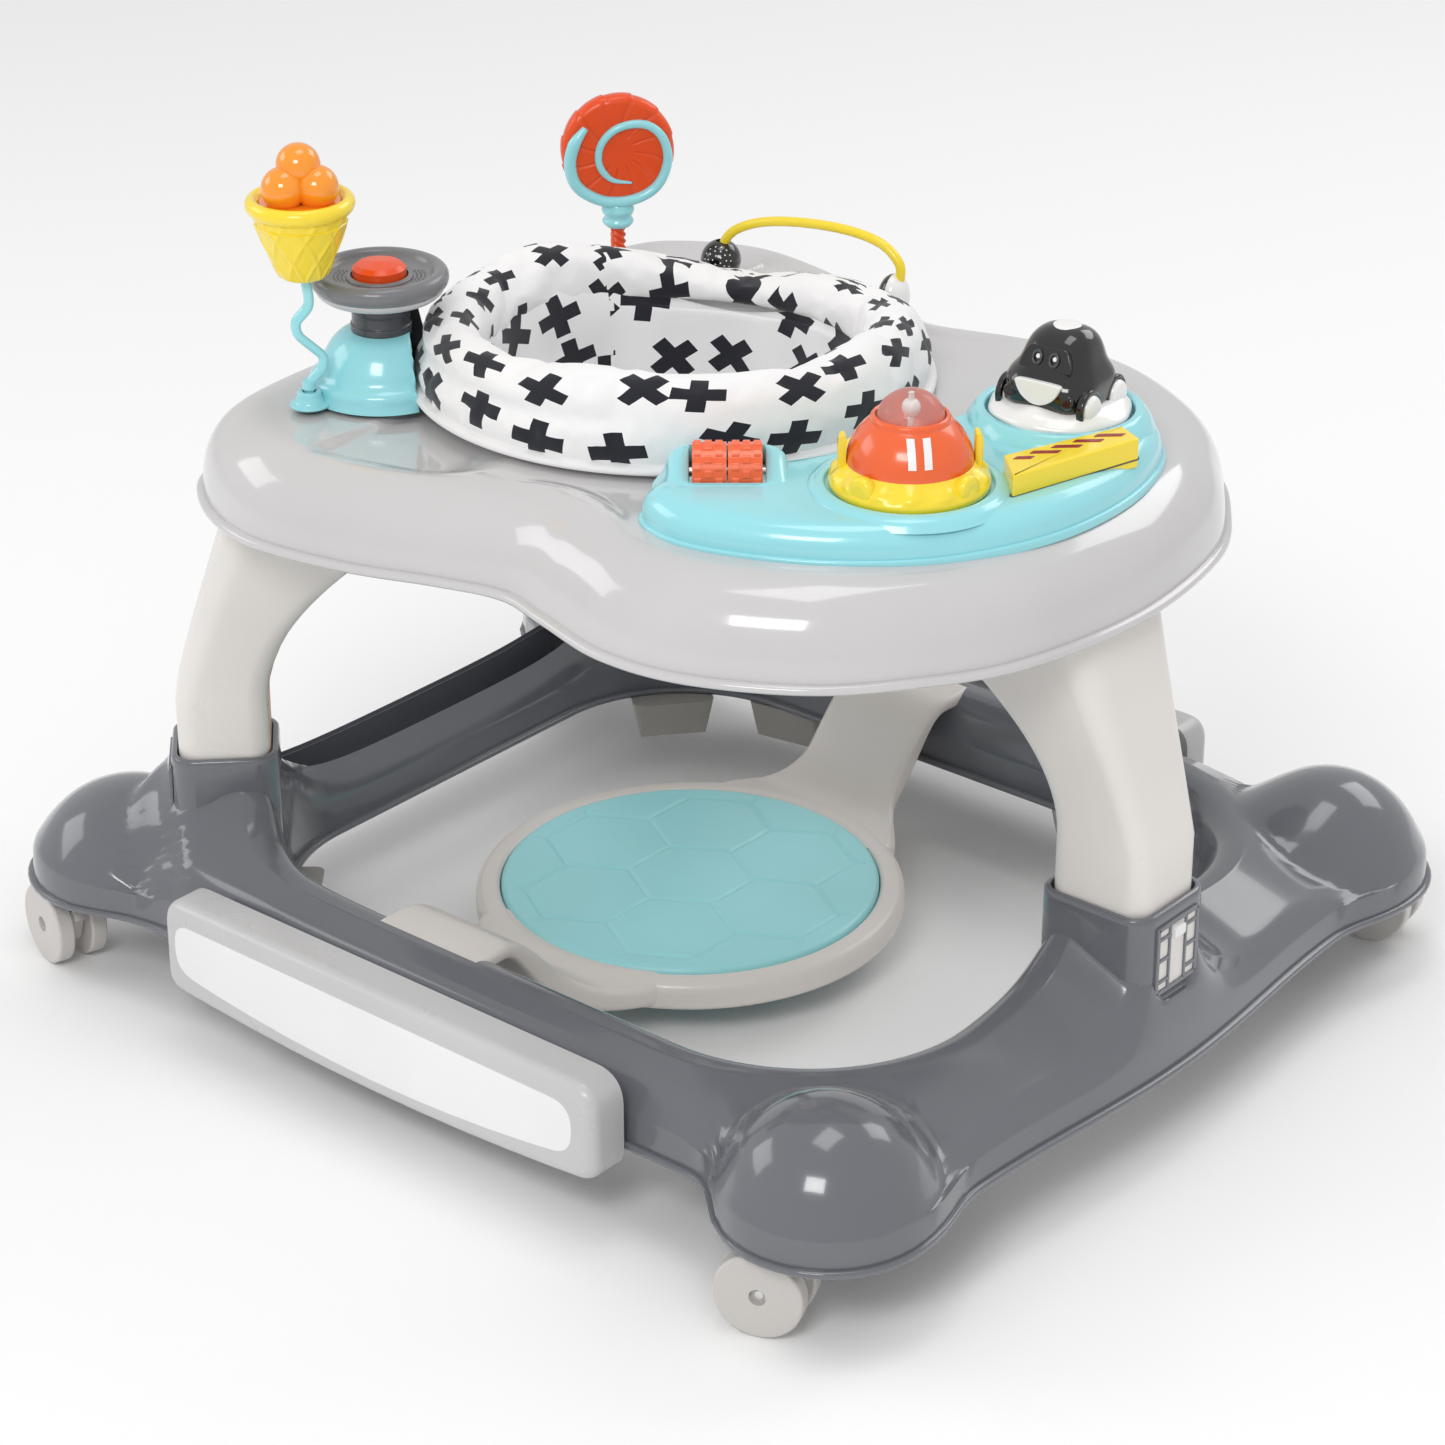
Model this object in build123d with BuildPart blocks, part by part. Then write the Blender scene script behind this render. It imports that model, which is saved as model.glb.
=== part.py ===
from build123d import *
import math
import os

# Baby walker: a ring base on four twin-wheel casters, a tray on three legs that slide
# in sockets of the base, a swivel seat in the tray, a foot pad and a set of tray toys.
# Millimetres. +Z up, +X the way the child faces, origin on the floor under the middle.

# ---- driving dimensions -------------------------------------------------------
WALL = 4.0  # moulded wall of the base, legs and tray
GAP = 0.3  # clearance between curved faces on parts that move past each other
FIT = 0.05  # radial clearance of a shaft in its bearing

WHEEL_R = 26.0
WHEEL_W = 11.0
FORK_W = 10.0  # fork between the two wheels
CASTER_TRAIL = 12.0  # axle behind the swivel stem
STEM_R = 4.5
AXLE_R = 2.5
STEM_TOP = 88.0

BASE_BOTTOM = 53.0  # underside of the lip
LIP_T = 4.0
LIP_W = 4.0
BASE_TOP = 104.0  # top of the beams
OUTER_BACK, OUTER_FRONT, OUTER_SIDE = -282.0, 346.0, 272.0
INNER_BACK, INNER_FRONT, INNER_SIDE = -226.0, 264.0, 214.0
LOBE_R = 62.0
LOBE_TOP = 122.0
LOBE_SHOULDER = BASE_BOTTOM + 14.0
LOBE_X, LOBE_Y = 290.0, 252.0
SOCKET_TOP = 156.0

LEG_RADIAL = 56.0  # leg section along the line to the seat's middle
LEG_WIDE = 54.0  # leg section across that line
LEG_BOTTOM = 84.0  # lower end of the legs at the highest setting
LEG_LEAN = 66.0  # how far the top of a leg leans in
LEG_SWELL = 40.0  # how much longer its section is there
SOCKET_FIT = 0.5
SOCKET_WALL = 4.5
HEIGHT_STEP = 14.0  # pitch of the three height settings
WINDOW_TOP = SOCKET_TOP - 10.0

TRAY_BOTTOM = 325.0
TRAY_TOP = 380.0
TRAY_SHOULDER = TRAY_TOP - 16.0  # where the side wall turns into the crown
SEAT_X = -34.0
SEAT_HOLE_R = 140.0
HEM_R = 154.0
RIM_TOP = 436.0
SEAT_LOW = 232.0

PAD_X = -22.0
PAD_R = 120.0
PAD_RING_R = 136.0
PAD_TOP = 45.0
ARM_HALF = 37.0

ROCKER_X = -7.0
ROCKER_LEN = 346.0
ROCKER_T = 26.0
ROCKER_TOP = 103.0
ROCKER_LOW = 33.0
ROCKER_END = 42.0  # lower edge at both ends
ROCKER_Y = 278.0  # inner face of the rocker bars

# Leg name: x, y and the heading towards the middle of the seat, in degrees.
LEGS = {
    "front": (310.0, 0.0, 180.0),
    "rear_right": (-226.0, -202.0, 45.0),
    "rear_left": (-226.0, 202.0, -45.0),
}
# Caster name: stem x and y, and the heading in which the wheels trail, in degrees.
CASTERS = {
    "front_right": (294.0, -290.0, -160.0),
    "front_left": (294.0, 290.0, 10.0),
    "rear_right": (-302.0, -270.0, 164.0),
    "rear_left": (-302.0, 270.0, 180.0),
}
LOBES = [(LOBE_X, -LOBE_Y), (LOBE_X, LOBE_Y), (-LOBE_X, -LOBE_Y + 24), (-LOBE_X, LOBE_Y - 24)]

os.makedirs("parts", exist_ok=True)


def keep(piece, name):
    """Labels one finished piece and writes its STEP file."""
    piece.label = name
    export_step(piece, f"parts/{name}.step")


def direction(degrees):
    return math.cos(math.radians(degrees)), math.sin(math.radians(degrees))


def level(x, y, z=0.0, degrees=0.0):
    """A level plane at x, y, z whose own X axis points along a heading."""
    cx, cy = direction(degrees)
    return Plane(origin=(x, y, z), x_dir=(cx, cy, 0), z_dir=(0, 0, 1))


def upright(x, y, z=0.0, degrees=0.0):
    """A vertical plane at x, y, z: its own X axis is level along a heading, its own Y axis is up."""
    cx, cy = direction(degrees)
    return Plane(origin=(x, y, z), x_dir=(cx, cy, 0), z_dir=(cy, -cx, 0))


def turned(points, plane=Plane.XZ, axis=Axis.Z):
    """A closed polygon of (radius, height) points turned about the Z axis."""
    with BuildPart() as body:
        with BuildSketch(plane):
            with BuildLine():
                Polyline(*points, close=True)
            make_face()
        revolve(axis=axis)
    return body.part


def dome(radius, low, shoulder, top):
    """Straight up from low to shoulder, then an arc to the top, turned about Z."""
    with BuildPart() as body:
        with BuildSketch(Plane.XZ):
            with BuildLine():
                Line((0, low), (radius, low))
                Line((radius, low), (radius, shoulder))
                ThreePointArc(
                    (radius, shoulder), (0.74 * radius, shoulder + 0.66 * (top - shoulder)), (2, top)
                )
                Line((2, top), (0, top))
                Line((0, top), (0, low))
            make_face()
        revolve(axis=Axis.Z)
    return body.part


def dome_skin(radius, low, shoulder, top, wall):
    """A thin dome, open below, turned about Z."""
    with BuildPart() as body:
        with BuildSketch(Plane.XZ):
            with BuildLine():
                Line((radius - wall, low), (radius, low))
                Line((radius, low), (radius, shoulder))
                ThreePointArc(
                    (radius, shoulder), (0.74 * radius, shoulder + 0.66 * (top - shoulder)), (2, top)
                )
                Line((2, top), (0, top))
                Line((0, top), (0, top - wall))
                Line((0, top - wall), (2, top - wall))
                ThreePointArc(
                    (2, top - wall),
                    (0.74 * (radius - wall), shoulder + 0.66 * (top - wall - shoulder)),
                    (radius - wall, shoulder),
                )
                Line((radius - wall, shoulder), (radius - wall, low))
            make_face()
        revolve(axis=Axis.Z)
    return body.part


def bent_tube(plane, points, bend, radius):
    """A round bar along straight runs joined by arcs, drawn in a plane."""
    with BuildPart() as bar:
        with BuildLine(plane) as path:
            FilletPolyline(*points, radius=bend)
        with BuildSketch(Plane(origin=path.line @ 0, z_dir=path.line % 0)):
            Circle(radius)
        sweep(path=path.line)
    return bar.part


# ---- base -----------------------------------------------------------------------
def ring_area(grow, lobes=False):
    """Outer outline of the beams, larger by grow all round, with or without the lobes."""
    with BuildSketch() as area:
        with Locations(((OUTER_BACK + OUTER_FRONT) / 2, 0)):
            RectangleRounded(OUTER_FRONT - OUTER_BACK + 2 * grow, 2 * (OUTER_SIDE + grow), 60 + grow)
        if lobes:
            with Locations(*LOBES):
                Circle(LOBE_R + grow)
    return area.sketch


def ring_hole(grow):
    """Opening inside the base, larger by grow all round."""
    with BuildSketch() as area:
        with Locations(((INNER_BACK + INNER_FRONT) / 2, 0)):
            RectangleRounded(INNER_FRONT - INNER_BACK + 2 * grow, 2 * (INNER_SIDE + grow), 84 + grow)
    return area.sketch


def leg_area(grow):
    with BuildSketch() as area:
        RectangleRounded(LEG_RADIAL + 2 * grow, LEG_WIDE + 2 * grow, 10 + grow)
    return area.sketch


def base_shell():
    """Ring frame, open below: beams, lobes over the casters, leg sockets and the lip."""
    wall_area, hole_area = ring_area(0), ring_hole(0)
    lip_area, lip_hole = ring_area(LIP_W, lobes=True), ring_hole(-LIP_W)
    lip_in, lip_hole_in = ring_area(-1, lobes=True), ring_hole(1)
    cavity_area, cavity_hole = ring_area(-WALL), ring_hole(WALL)
    lobe = dome(LOBE_R, BASE_BOTTOM, LOBE_SHOULDER, LOBE_TOP)
    lobe_hollow = dome(LOBE_R - WALL, BASE_BOTTOM, LOBE_SHOULDER, LOBE_TOP - WALL)
    socket, bore = leg_area(SOCKET_FIT + SOCKET_WALL), leg_area(SOCKET_FIT)
    with BuildPart() as base:
        with BuildSketch(Plane.XY.offset(BASE_BOTTOM)):
            add(wall_area)
            add(hole_area, mode=Mode.SUBTRACT)
        extrude(amount=BASE_TOP - BASE_BOTTOM)
        with Locations(*LOBES):
            add(lobe)
        with BuildSketch(Plane.XY.offset(BASE_BOTTOM)):
            add(cavity_area)
            add(cavity_hole, mode=Mode.SUBTRACT)
        extrude(amount=BASE_TOP - BASE_BOTTOM - WALL, mode=Mode.SUBTRACT)
        with Locations(*LOBES):
            add(lobe_hollow, mode=Mode.SUBTRACT)
        # Caster bosses that reach up into the domes, each with a web to the outer wall.
        for (x, y, _), (lx, ly) in zip(CASTERS.values(), LOBES):
            off, out = math.hypot(x - lx, y - ly), math.degrees(math.atan2(y - ly, x - lx))
            high = LOBE_SHOULDER + 0.8 * (LOBE_TOP - LOBE_SHOULDER) * math.sqrt(1 - ((off + 8) / LOBE_R) ** 2)
            with BuildSketch(Plane(origin=(x, y, BASE_BOTTOM + 2))):
                Circle(STEM_R + 3.5)
            extrude(amount=max(high, STEM_TOP + 4) - BASE_BOTTOM - 2)
            with BuildSketch(level(lx, ly, BASE_BOTTOM + 2, out)):
                with Locations(((off + LOBE_R - 2) / 2, 0)):
                    Rectangle(LOBE_R - 2 - off, 4)
            extrude(amount=20)
        for x, y, turn in LEGS.values():
            with BuildSketch(level(x, y, BASE_BOTTOM, turn)):
                add(socket)
            extrude(amount=SOCKET_TOP - BASE_BOTTOM)
            with BuildSketch(level(x, y, BASE_BOTTOM, turn)):
                add(bore)
            extrude(amount=SOCKET_TOP - BASE_BOTTOM, mode=Mode.SUBTRACT)
            # Height windows in the outer face: a tall slot between two rows of side windows.
            cx, cy = direction(turn)
            reach = LEG_RADIAL / 2 + SOCKET_FIT + SOCKET_WALL + 4
            face = Plane(
                origin=(x - reach * cx, y - reach * cy, WINDOW_TOP - HEIGHT_STEP - 6),
                x_dir=(cy, -cx, 0),
                z_dir=(cx, cy, 0),
            )
            with BuildSketch(face):
                Rectangle(13, 2 * HEIGHT_STEP + 11)
                with GridLocations(27, HEIGHT_STEP, 2, 3):
                    Rectangle(8, HEIGHT_STEP - 3)
            extrude(amount=SOCKET_WALL + 6, mode=Mode.SUBTRACT)
        with BuildSketch(Plane.XY.offset(BASE_BOTTOM)):
            add(lip_area)
            add(lip_in, mode=Mode.SUBTRACT)
        extrude(amount=LIP_T)
        with BuildSketch(Plane.XY.offset(BASE_BOTTOM)):
            add(lip_hole_in)
            add(lip_hole, mode=Mode.SUBTRACT)
        extrude(amount=LIP_T)
        for x, y, _ in CASTERS.values():
            with BuildSketch(Plane(origin=(x, y, BASE_BOTTOM))):
                Circle(STEM_R + FIT)
            extrude(amount=STEM_TOP - BASE_BOTTOM, mode=Mode.SUBTRACT)
        for x, y, turn in LEGS.values():
            with BuildSketch(level(x, y, BASE_BOTTOM, turn)):
                add(bore)
            extrude(amount=SOCKET_TOP - BASE_BOTTOM, mode=Mode.SUBTRACT)
        # Open trough along the top of the rear beam.
        with BuildSketch(Plane.XY.offset(BASE_TOP - 34)):
            with Locations(((OUTER_BACK + INNER_BACK) / 2, 0)):
                RectangleRounded(44, 250, 8)
        extrude(amount=34)
        with BuildSketch(Plane.XY.offset(BASE_TOP - 30)):
            with Locations(((OUTER_BACK + INNER_BACK) / 2, 0)):
                RectangleRounded(36, 242, 6)
        extrude(amount=34, mode=Mode.SUBTRACT)
        # Notches in the inner edges where the arms of the foot pad hook on.
        for side in (-1, 1):
            with BuildSketch(Plane.XY.offset(BASE_TOP - 10)):
                with Locations((PAD_X, side * (INNER_SIDE + 8))):
                    Rectangle(2 * ARM_HALF + 2, 40)
            extrude(amount=20, mode=Mode.SUBTRACT)
            with BuildSketch(Plane.XY.offset(BASE_TOP - 14)):
                with Locations((PAD_X, side * (INNER_SIDE + 14))):
                    Rectangle(2 * ARM_HALF + 10, 28)
            extrude(amount=4)
    keep(base.part, "base_shell")


def rocker_bars():
    """Bowed bars on both long sides that are pushed down for rocking, each with an inlay strip."""
    half = ROCKER_LEN / 2
    end, high, low = half - 27, ROCKER_TOP - 15, ROCKER_END + 13
    for side, name in ((-1, "right"), (1, "left")):
        with BuildPart() as inlay:
            with BuildSketch(Plane(origin=(0, side * (ROCKER_Y + ROCKER_T), 0), x_dir=(1, 0, 0), z_dir=(0, -1, 0))):
                with BuildLine():
                    Line((ROCKER_X - end, high), (ROCKER_X + end, high))
                    ThreePointArc(
                        (ROCKER_X + end, high), (ROCKER_X + end + 14, high - 17), (ROCKER_X + end, low)
                    )
                    ThreePointArc(
                        (ROCKER_X + end, low), (ROCKER_X, ROCKER_LOW + 11), (ROCKER_X - end, low)
                    )
                    ThreePointArc(
                        (ROCKER_X - end, low), (ROCKER_X - end - 14, high - 17), (ROCKER_X - end, high)
                    )
                make_face()
            extrude(amount=side * 3)
        with BuildPart() as bar:
            with BuildSketch(Plane(origin=(0, side * ROCKER_Y, 0), x_dir=(1, 0, 0), z_dir=(0, -1, 0))):
                with BuildLine():
                    Polyline(
                        (ROCKER_X - half, ROCKER_END),
                        (ROCKER_X - half, ROCKER_TOP - 8),
                        (ROCKER_X - half + 8, ROCKER_TOP),
                        (ROCKER_X + half - 8, ROCKER_TOP),
                        (ROCKER_X + half, ROCKER_TOP - 8),
                        (ROCKER_X + half, ROCKER_END),
                    )
                    ThreePointArc(
                        (ROCKER_X + half, ROCKER_END),
                        (ROCKER_X, ROCKER_LOW),
                        (ROCKER_X - half, ROCKER_END),
                    )
                make_face()
            extrude(amount=-side * ROCKER_T)
            outer = bar.faces().sort_by(Axis.Y)[0 if side < 0 else -1]
            fillet(outer.edges(), radius=5)
            add(inlay.part, mode=Mode.SUBTRACT)
        keep(bar.part, f"rocker_bar_{name}")
        keep(inlay.part, f"rocker_inlay_{name}")


def grip_pads():
    """Anti-slip blocks under the inner edge of the base: tapered, well above the floor."""
    places = [(-190, 178, 50), (-120, 222, 10), (190, 178, -50), (130, 222, -10)]
    with BuildPart() as pads:
        for x, y, turn in places:
            for side in (-1, 1):
                with BuildSketch(level(x, side * y, BASE_BOTTOM, side * turn)):
                    RectangleRounded(56, 24, 6)
                extrude(amount=-26, taper=12)
    keep(pads.part, "grip_pads")


# ---- casters ----------------------------------------------------------------------
def casters():
    for name, (x, y, trail) in CASTERS.items():
        tx, ty = direction(trail)
        ax, ay = x + CASTER_TRAIL * tx, y + CASTER_TRAIL * ty
        axle_plane = Plane(origin=(ax, ay, WHEEL_R), x_dir=(tx, ty, 0), z_dir=(ty, -tx, 0))
        with BuildPart() as fork:
            with BuildSketch(Plane(origin=(x, y, 2 * WHEEL_R - 10))):
                Circle(STEM_R)
            extrude(amount=STEM_TOP - 2 * WHEEL_R + 8)
            with BuildSketch(Plane(origin=(x, y, 2 * WHEEL_R + 0.3))):
                Circle(STEM_R + 3)
            extrude(amount=BASE_BOTTOM - 2 * WHEEL_R - 0.3 + 1.6)
            with BuildSketch(axle_plane.offset(-FORK_W / 2)):
                with BuildLine():
                    Polyline(
                        (-CASTER_TRAIL - 8, 24), (10, 24), (23, 8), (23, 0), (9, -12), (-9, -12),
                        (-CASTER_TRAIL - 8, 14), close=True,
                    )
                make_face()
            extrude(amount=FORK_W)
            with BuildSketch(axle_plane.offset(-FORK_W / 2)):
                Circle(AXLE_R + FIT)
            extrude(amount=FORK_W, mode=Mode.SUBTRACT)
        keep(fork.part, f"caster_fork_{name}")
        with BuildPart() as wheels:
            for side in (-1, 1):
                start = side * (FORK_W / 2 + 0.6)
                with BuildSketch(axle_plane.offset(start)):
                    Circle(WHEEL_R)
                extrude(amount=side * WHEEL_W)
            rims = wheels.edges().filter_by(GeomType.CIRCLE)
            fillet(rims, radius=1.8)
            for side in (-1, 1):
                start = side * (FORK_W / 2 + 0.6)
                with BuildSketch(axle_plane.offset(start)):
                    Circle(AXLE_R)
                extrude(amount=side * WHEEL_W, mode=Mode.SUBTRACT)
                with BuildSketch(axle_plane.offset(start + side * (WHEEL_W - 4))):
                    Circle(5)
                extrude(amount=side * 4, mode=Mode.SUBTRACT)
        keep(wheels.part, f"caster_wheels_{name}")
        with BuildPart() as axle:
            length = FORK_W + 1.2 + 2 * (WHEEL_W - 3)
            with BuildSketch(axle_plane.offset(-length / 2)):
                Circle(AXLE_R)
            extrude(amount=length)
        keep(axle.part, f"caster_axle_{name}")


# ---- legs and height buttons ----------------------------------------------------------
def legs():
    """Each leg is upright in its socket, then leans in and widens under the tray."""
    for name, (x, y, turn) in LEGS.items():
        cx, cy = direction(turn)
        upper = level(x + LEG_LEAN * cx, y + LEG_LEAN * cy, TRAY_SHOULDER - WALL, turn)
        bore = leg_area(-WALL)
        with BuildPart() as leg:
            with BuildSketch(level(x, y, LEG_BOTTOM, turn)):
                RectangleRounded(LEG_RADIAL, LEG_WIDE, 10)
            extrude(amount=SOCKET_TOP + 34 - LEG_BOTTOM)
            with BuildSketch(level(x, y, SOCKET_TOP + 34, turn)):
                RectangleRounded(LEG_RADIAL, LEG_WIDE, 10)
            with BuildSketch(upper):
                RectangleRounded(LEG_RADIAL + LEG_SWELL, LEG_WIDE + 6, 20)
            loft()
            with BuildSketch(level(x, y, LEG_BOTTOM, turn)):
                add(bore)
            extrude(amount=SOCKET_TOP - LEG_BOTTOM, mode=Mode.SUBTRACT)
            with BuildSketch(button_plane(x, y, turn, LEG_RADIAL / 2 + 1)):
                Rectangle(11.4, 7.4)
            extrude(amount=WALL + 2, mode=Mode.SUBTRACT)
        keep(leg.part, f"leg_{name}")


def button_plane(x, y, turn, reach):
    """Upright plane on the outer side of a leg at the top window, facing in."""
    cx, cy = direction(turn)
    return Plane(
        origin=(x - reach * cx, y - reach * cy, WINDOW_TOP - 6),
        x_dir=(cy, -cx, 0),
        z_dir=(cx, cy, 0),
    )


def height_buttons():
    """White push buttons in the top windows: a thumb pad through the wall and a flange behind it."""
    out = SOCKET_FIT + SOCKET_WALL + 3
    for name, (x, y, turn) in LEGS.items():
        with BuildPart() as button:
            with BuildSketch(button_plane(x, y, turn, LEG_RADIAL / 2 + out)):
                RectangleRounded(10.6, 6.6, 1.5)
            extrude(amount=out + WALL + 1)
            with BuildSketch(button_plane(x, y, turn, LEG_RADIAL / 2 - WALL - 0.4)):
                Rectangle(18, 12)
            extrude(amount=2.6)
        keep(button.part, f"height_button_{name}")


# ---- tray ---------------------------------------------------------------------------
TRAY_HALF = [
    (-247, 0), (-249, -90), (-240, -180), (-208, -222), (-150, -246), (-80, -238), (-22, -218),
    (20, -208), (60, -218), (112, -231), (165, -225), (224, -194), (262, -152), (294, -94), (308, 0),
]


def tray_area(shrink):
    """Outline of the tray, pulled in towards the seat by shrink."""
    points = []
    for px, py in TRAY_HALF:
        reach = math.hypot(px - 20, py)
        points.append((20 + (px - 20) * (1 - shrink / reach), py * (1 - shrink / reach)))
    with BuildSketch() as area:
        with BuildLine():
            Spline(*points, tangents=[(0, -1), (0, 1)])
            mirror(about=Plane.XZ)
        make_face()
    return area.sketch


def tray_shell():
    """Domed tray moulding, open below, with a bottom lip, the seat hole and sockets for the legs."""
    lip, wall, shoulder, crown = tray_area(-4), tray_area(0), tray_area(6), tray_area(24)
    in_wall, in_shoulder = tray_area(WALL), tray_area(6 + WALL)
    with BuildPart() as tray:
        with BuildSketch(Plane.XY.offset(TRAY_BOTTOM)):
            add(lip)
        extrude(amount=3.5)
        with BuildSketch(Plane.XY.offset(TRAY_BOTTOM)):
            add(wall)
        with BuildSketch(Plane.XY.offset(TRAY_SHOULDER)):
            add(shoulder)
        loft()
        with BuildSketch(Plane.XY.offset(TRAY_SHOULDER)):
            add(shoulder)
        with BuildSketch(Plane.XY.offset(TRAY_TOP)):
            add(crown)
        loft()
        with BuildSketch(Plane.XY.offset(TRAY_BOTTOM)):
            add(in_wall)
        with BuildSketch(Plane.XY.offset(TRAY_SHOULDER - WALL)):
            add(in_shoulder)
        loft(mode=Mode.SUBTRACT)
        with BuildSketch(Plane(origin=(SEAT_X, 0, TRAY_BOTTOM + 4))):
            Circle(SEAT_HOLE_R + 6)
        extrude(amount=TRAY_TOP - TRAY_BOTTOM - 6)
        with BuildSketch(Plane(origin=(SEAT_X, 0, TRAY_BOTTOM))):
            Circle(SEAT_HOLE_R)
        extrude(amount=TRAY_TOP - TRAY_BOTTOM, mode=Mode.SUBTRACT)
    keep(tray.part, "tray_shell")


def seat_collar():
    """Ring pressed in the tray hole, on which the swivel ring of the seat turns."""
    profile = [
        (SEAT_HOLE_R - 6, TRAY_TOP - 34), (SEAT_HOLE_R, TRAY_TOP - 34), (SEAT_HOLE_R, TRAY_TOP),
        (SEAT_HOLE_R + 7, TRAY_TOP), (SEAT_HOLE_R + 7, TRAY_TOP + 3), (SEAT_HOLE_R - 6, TRAY_TOP + 3),
    ]
    ring = turned(profile)
    with BuildPart() as collar:
        with Locations((SEAT_X, 0)):
            add(ring)
    keep(collar.part, "seat_collar")


# ---- seat ---------------------------------------------------------------------------
def seat():
    """Swivel ring, padded band with a rolled rim, and a bucket with two leg holes."""
    top = TRAY_TOP + 3
    in_r = SEAT_HOLE_R - 6 - GAP
    ring = turned([
        (in_r - 4, top - 34), (in_r, top - 34), (in_r, top), (HEM_R - 5, top), (HEM_R - 5, top + 5),
        (in_r - 4, top + 5),
    ])
    with BuildPart() as swivel:
        with Locations((SEAT_X, 0)):
            add(ring)
    keep(swivel.part, "seat_ring")
    low = top + 5
    band = turned([
        (in_r - 4, low), (HEM_R - 4, low), (HEM_R, low + 18), (HEM_R - 3, RIM_TOP - 14),
        (HEM_R - 13, RIM_TOP), (in_r - 16, RIM_TOP), (in_r - 26, RIM_TOP - 10), (in_r - 22, low + 8),
        (in_r - 14, low),
    ])
    with BuildPart() as pad:
        with Locations((SEAT_X, 0)):
            add(band)
    keep(pad.part, "seat_pad")
    out = in_r - 4.6
    bucket = turned([
        (0, SEAT_LOW), (60, SEAT_LOW + 4), (96, SEAT_LOW + 34), (118, top - 60), (out, top - 36),
        (out, low - 0.4), (out - 8, low - 0.4), (out - 8, top - 34), (110, top - 56),
        (90, SEAT_LOW + 40), (56, SEAT_LOW + 12), (0, SEAT_LOW + 8),
    ])
    with BuildPart() as sling:
        with Locations((SEAT_X, 0)):
            add(bucket)
        for side in (-1, 1):
            with BuildSketch(Plane(origin=(SEAT_X + 44, side * 54, SEAT_LOW - 20))):
                Ellipse(46, 38)
            extrude(amount=120, mode=Mode.SUBTRACT)
    keep(sling.part, "seat_sling")


# ---- foot pad -------------------------------------------------------------------------
def foot_pad():
    """Ring with two arms that rise to hook over the long sides, and the round plate in it."""
    with BuildPart() as ring:
        with BuildSketch(Plane(origin=(PAD_X, 0, PAD_TOP - 20))):
            Circle(PAD_RING_R)
            Circle(PAD_R - 10, mode=Mode.SUBTRACT)
        extrude(amount=20)
        for side in (-1, 1):
            with BuildSketch(Plane(origin=(PAD_X - ARM_HALF, 0, 0), x_dir=(0, side, 0), z_dir=(side, 0, 0))):
                with BuildLine():
                    Polyline(
                        (PAD_RING_R - 12, PAD_TOP - 16), (PAD_RING_R - 12, PAD_TOP - 2),
                        (PAD_RING_R + 4, PAD_TOP), (INNER_SIDE - 36, BASE_TOP - 24),
                        (INNER_SIDE - 14, BASE_TOP - 2), (INNER_SIDE + 24, BASE_TOP - 2),
                        (INNER_SIDE + 24, BASE_TOP - 9.5), (INNER_SIDE - LIP_W - 4, BASE_TOP - 9.5),
                        (INNER_SIDE - 30, BASE_TOP - 38), (PAD_RING_R + 4, PAD_TOP - 16), close=True,
                    )
                make_face()
            extrude(amount=side * 2 * ARM_HALF)
        with BuildSketch(Plane(origin=(PAD_X, 0, PAD_TOP - 8))):
            Circle(PAD_R + GAP)
        extrude(amount=20, mode=Mode.SUBTRACT)
    keep(ring.part, "foot_pad_ring")
    with BuildPart() as plate:
        with BuildSketch(Plane(origin=(PAD_X, 0, PAD_TOP - 8))):
            Circle(PAD_R)
        extrude(amount=10)
        fillet(plate.faces().sort_by(Axis.Z)[-1].edges(), radius=3)
    keep(plate.part, "foot_pad_plate")


# ---- toy console --------------------------------------------------------------------
CONSOLE_OUTLINE = [
    (84, -156), (98, -176), (138, -180), (199, -154), (248, -108), (276, -44), (279, 24), (262, 82),
    (232, 112), (196, 118), (164, 96), (152, 40), (143, -20), (126, -70), (98, -118),
]
CONSOLE_TOP = 400.0
ROLLER = (112.0, -124.0)
ROLLER_HEADING = 40.0
ROLLER_R = 17.0
ROLLER_W = 19.0
ROLLER_Z = 401.0
DOME = (200.0, -73.0)
DOME_R = 46.0
CAR = (206.0, 60.0)
CAR_R = 42.0
CAR_HEADING = -84.0
CAR_TRAVEL = 4.0
KEY_OUTLINE = [(232, -30), (248, -44), (272, 42), (258, 47)]
KEY_TRAVEL = 3.0


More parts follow.
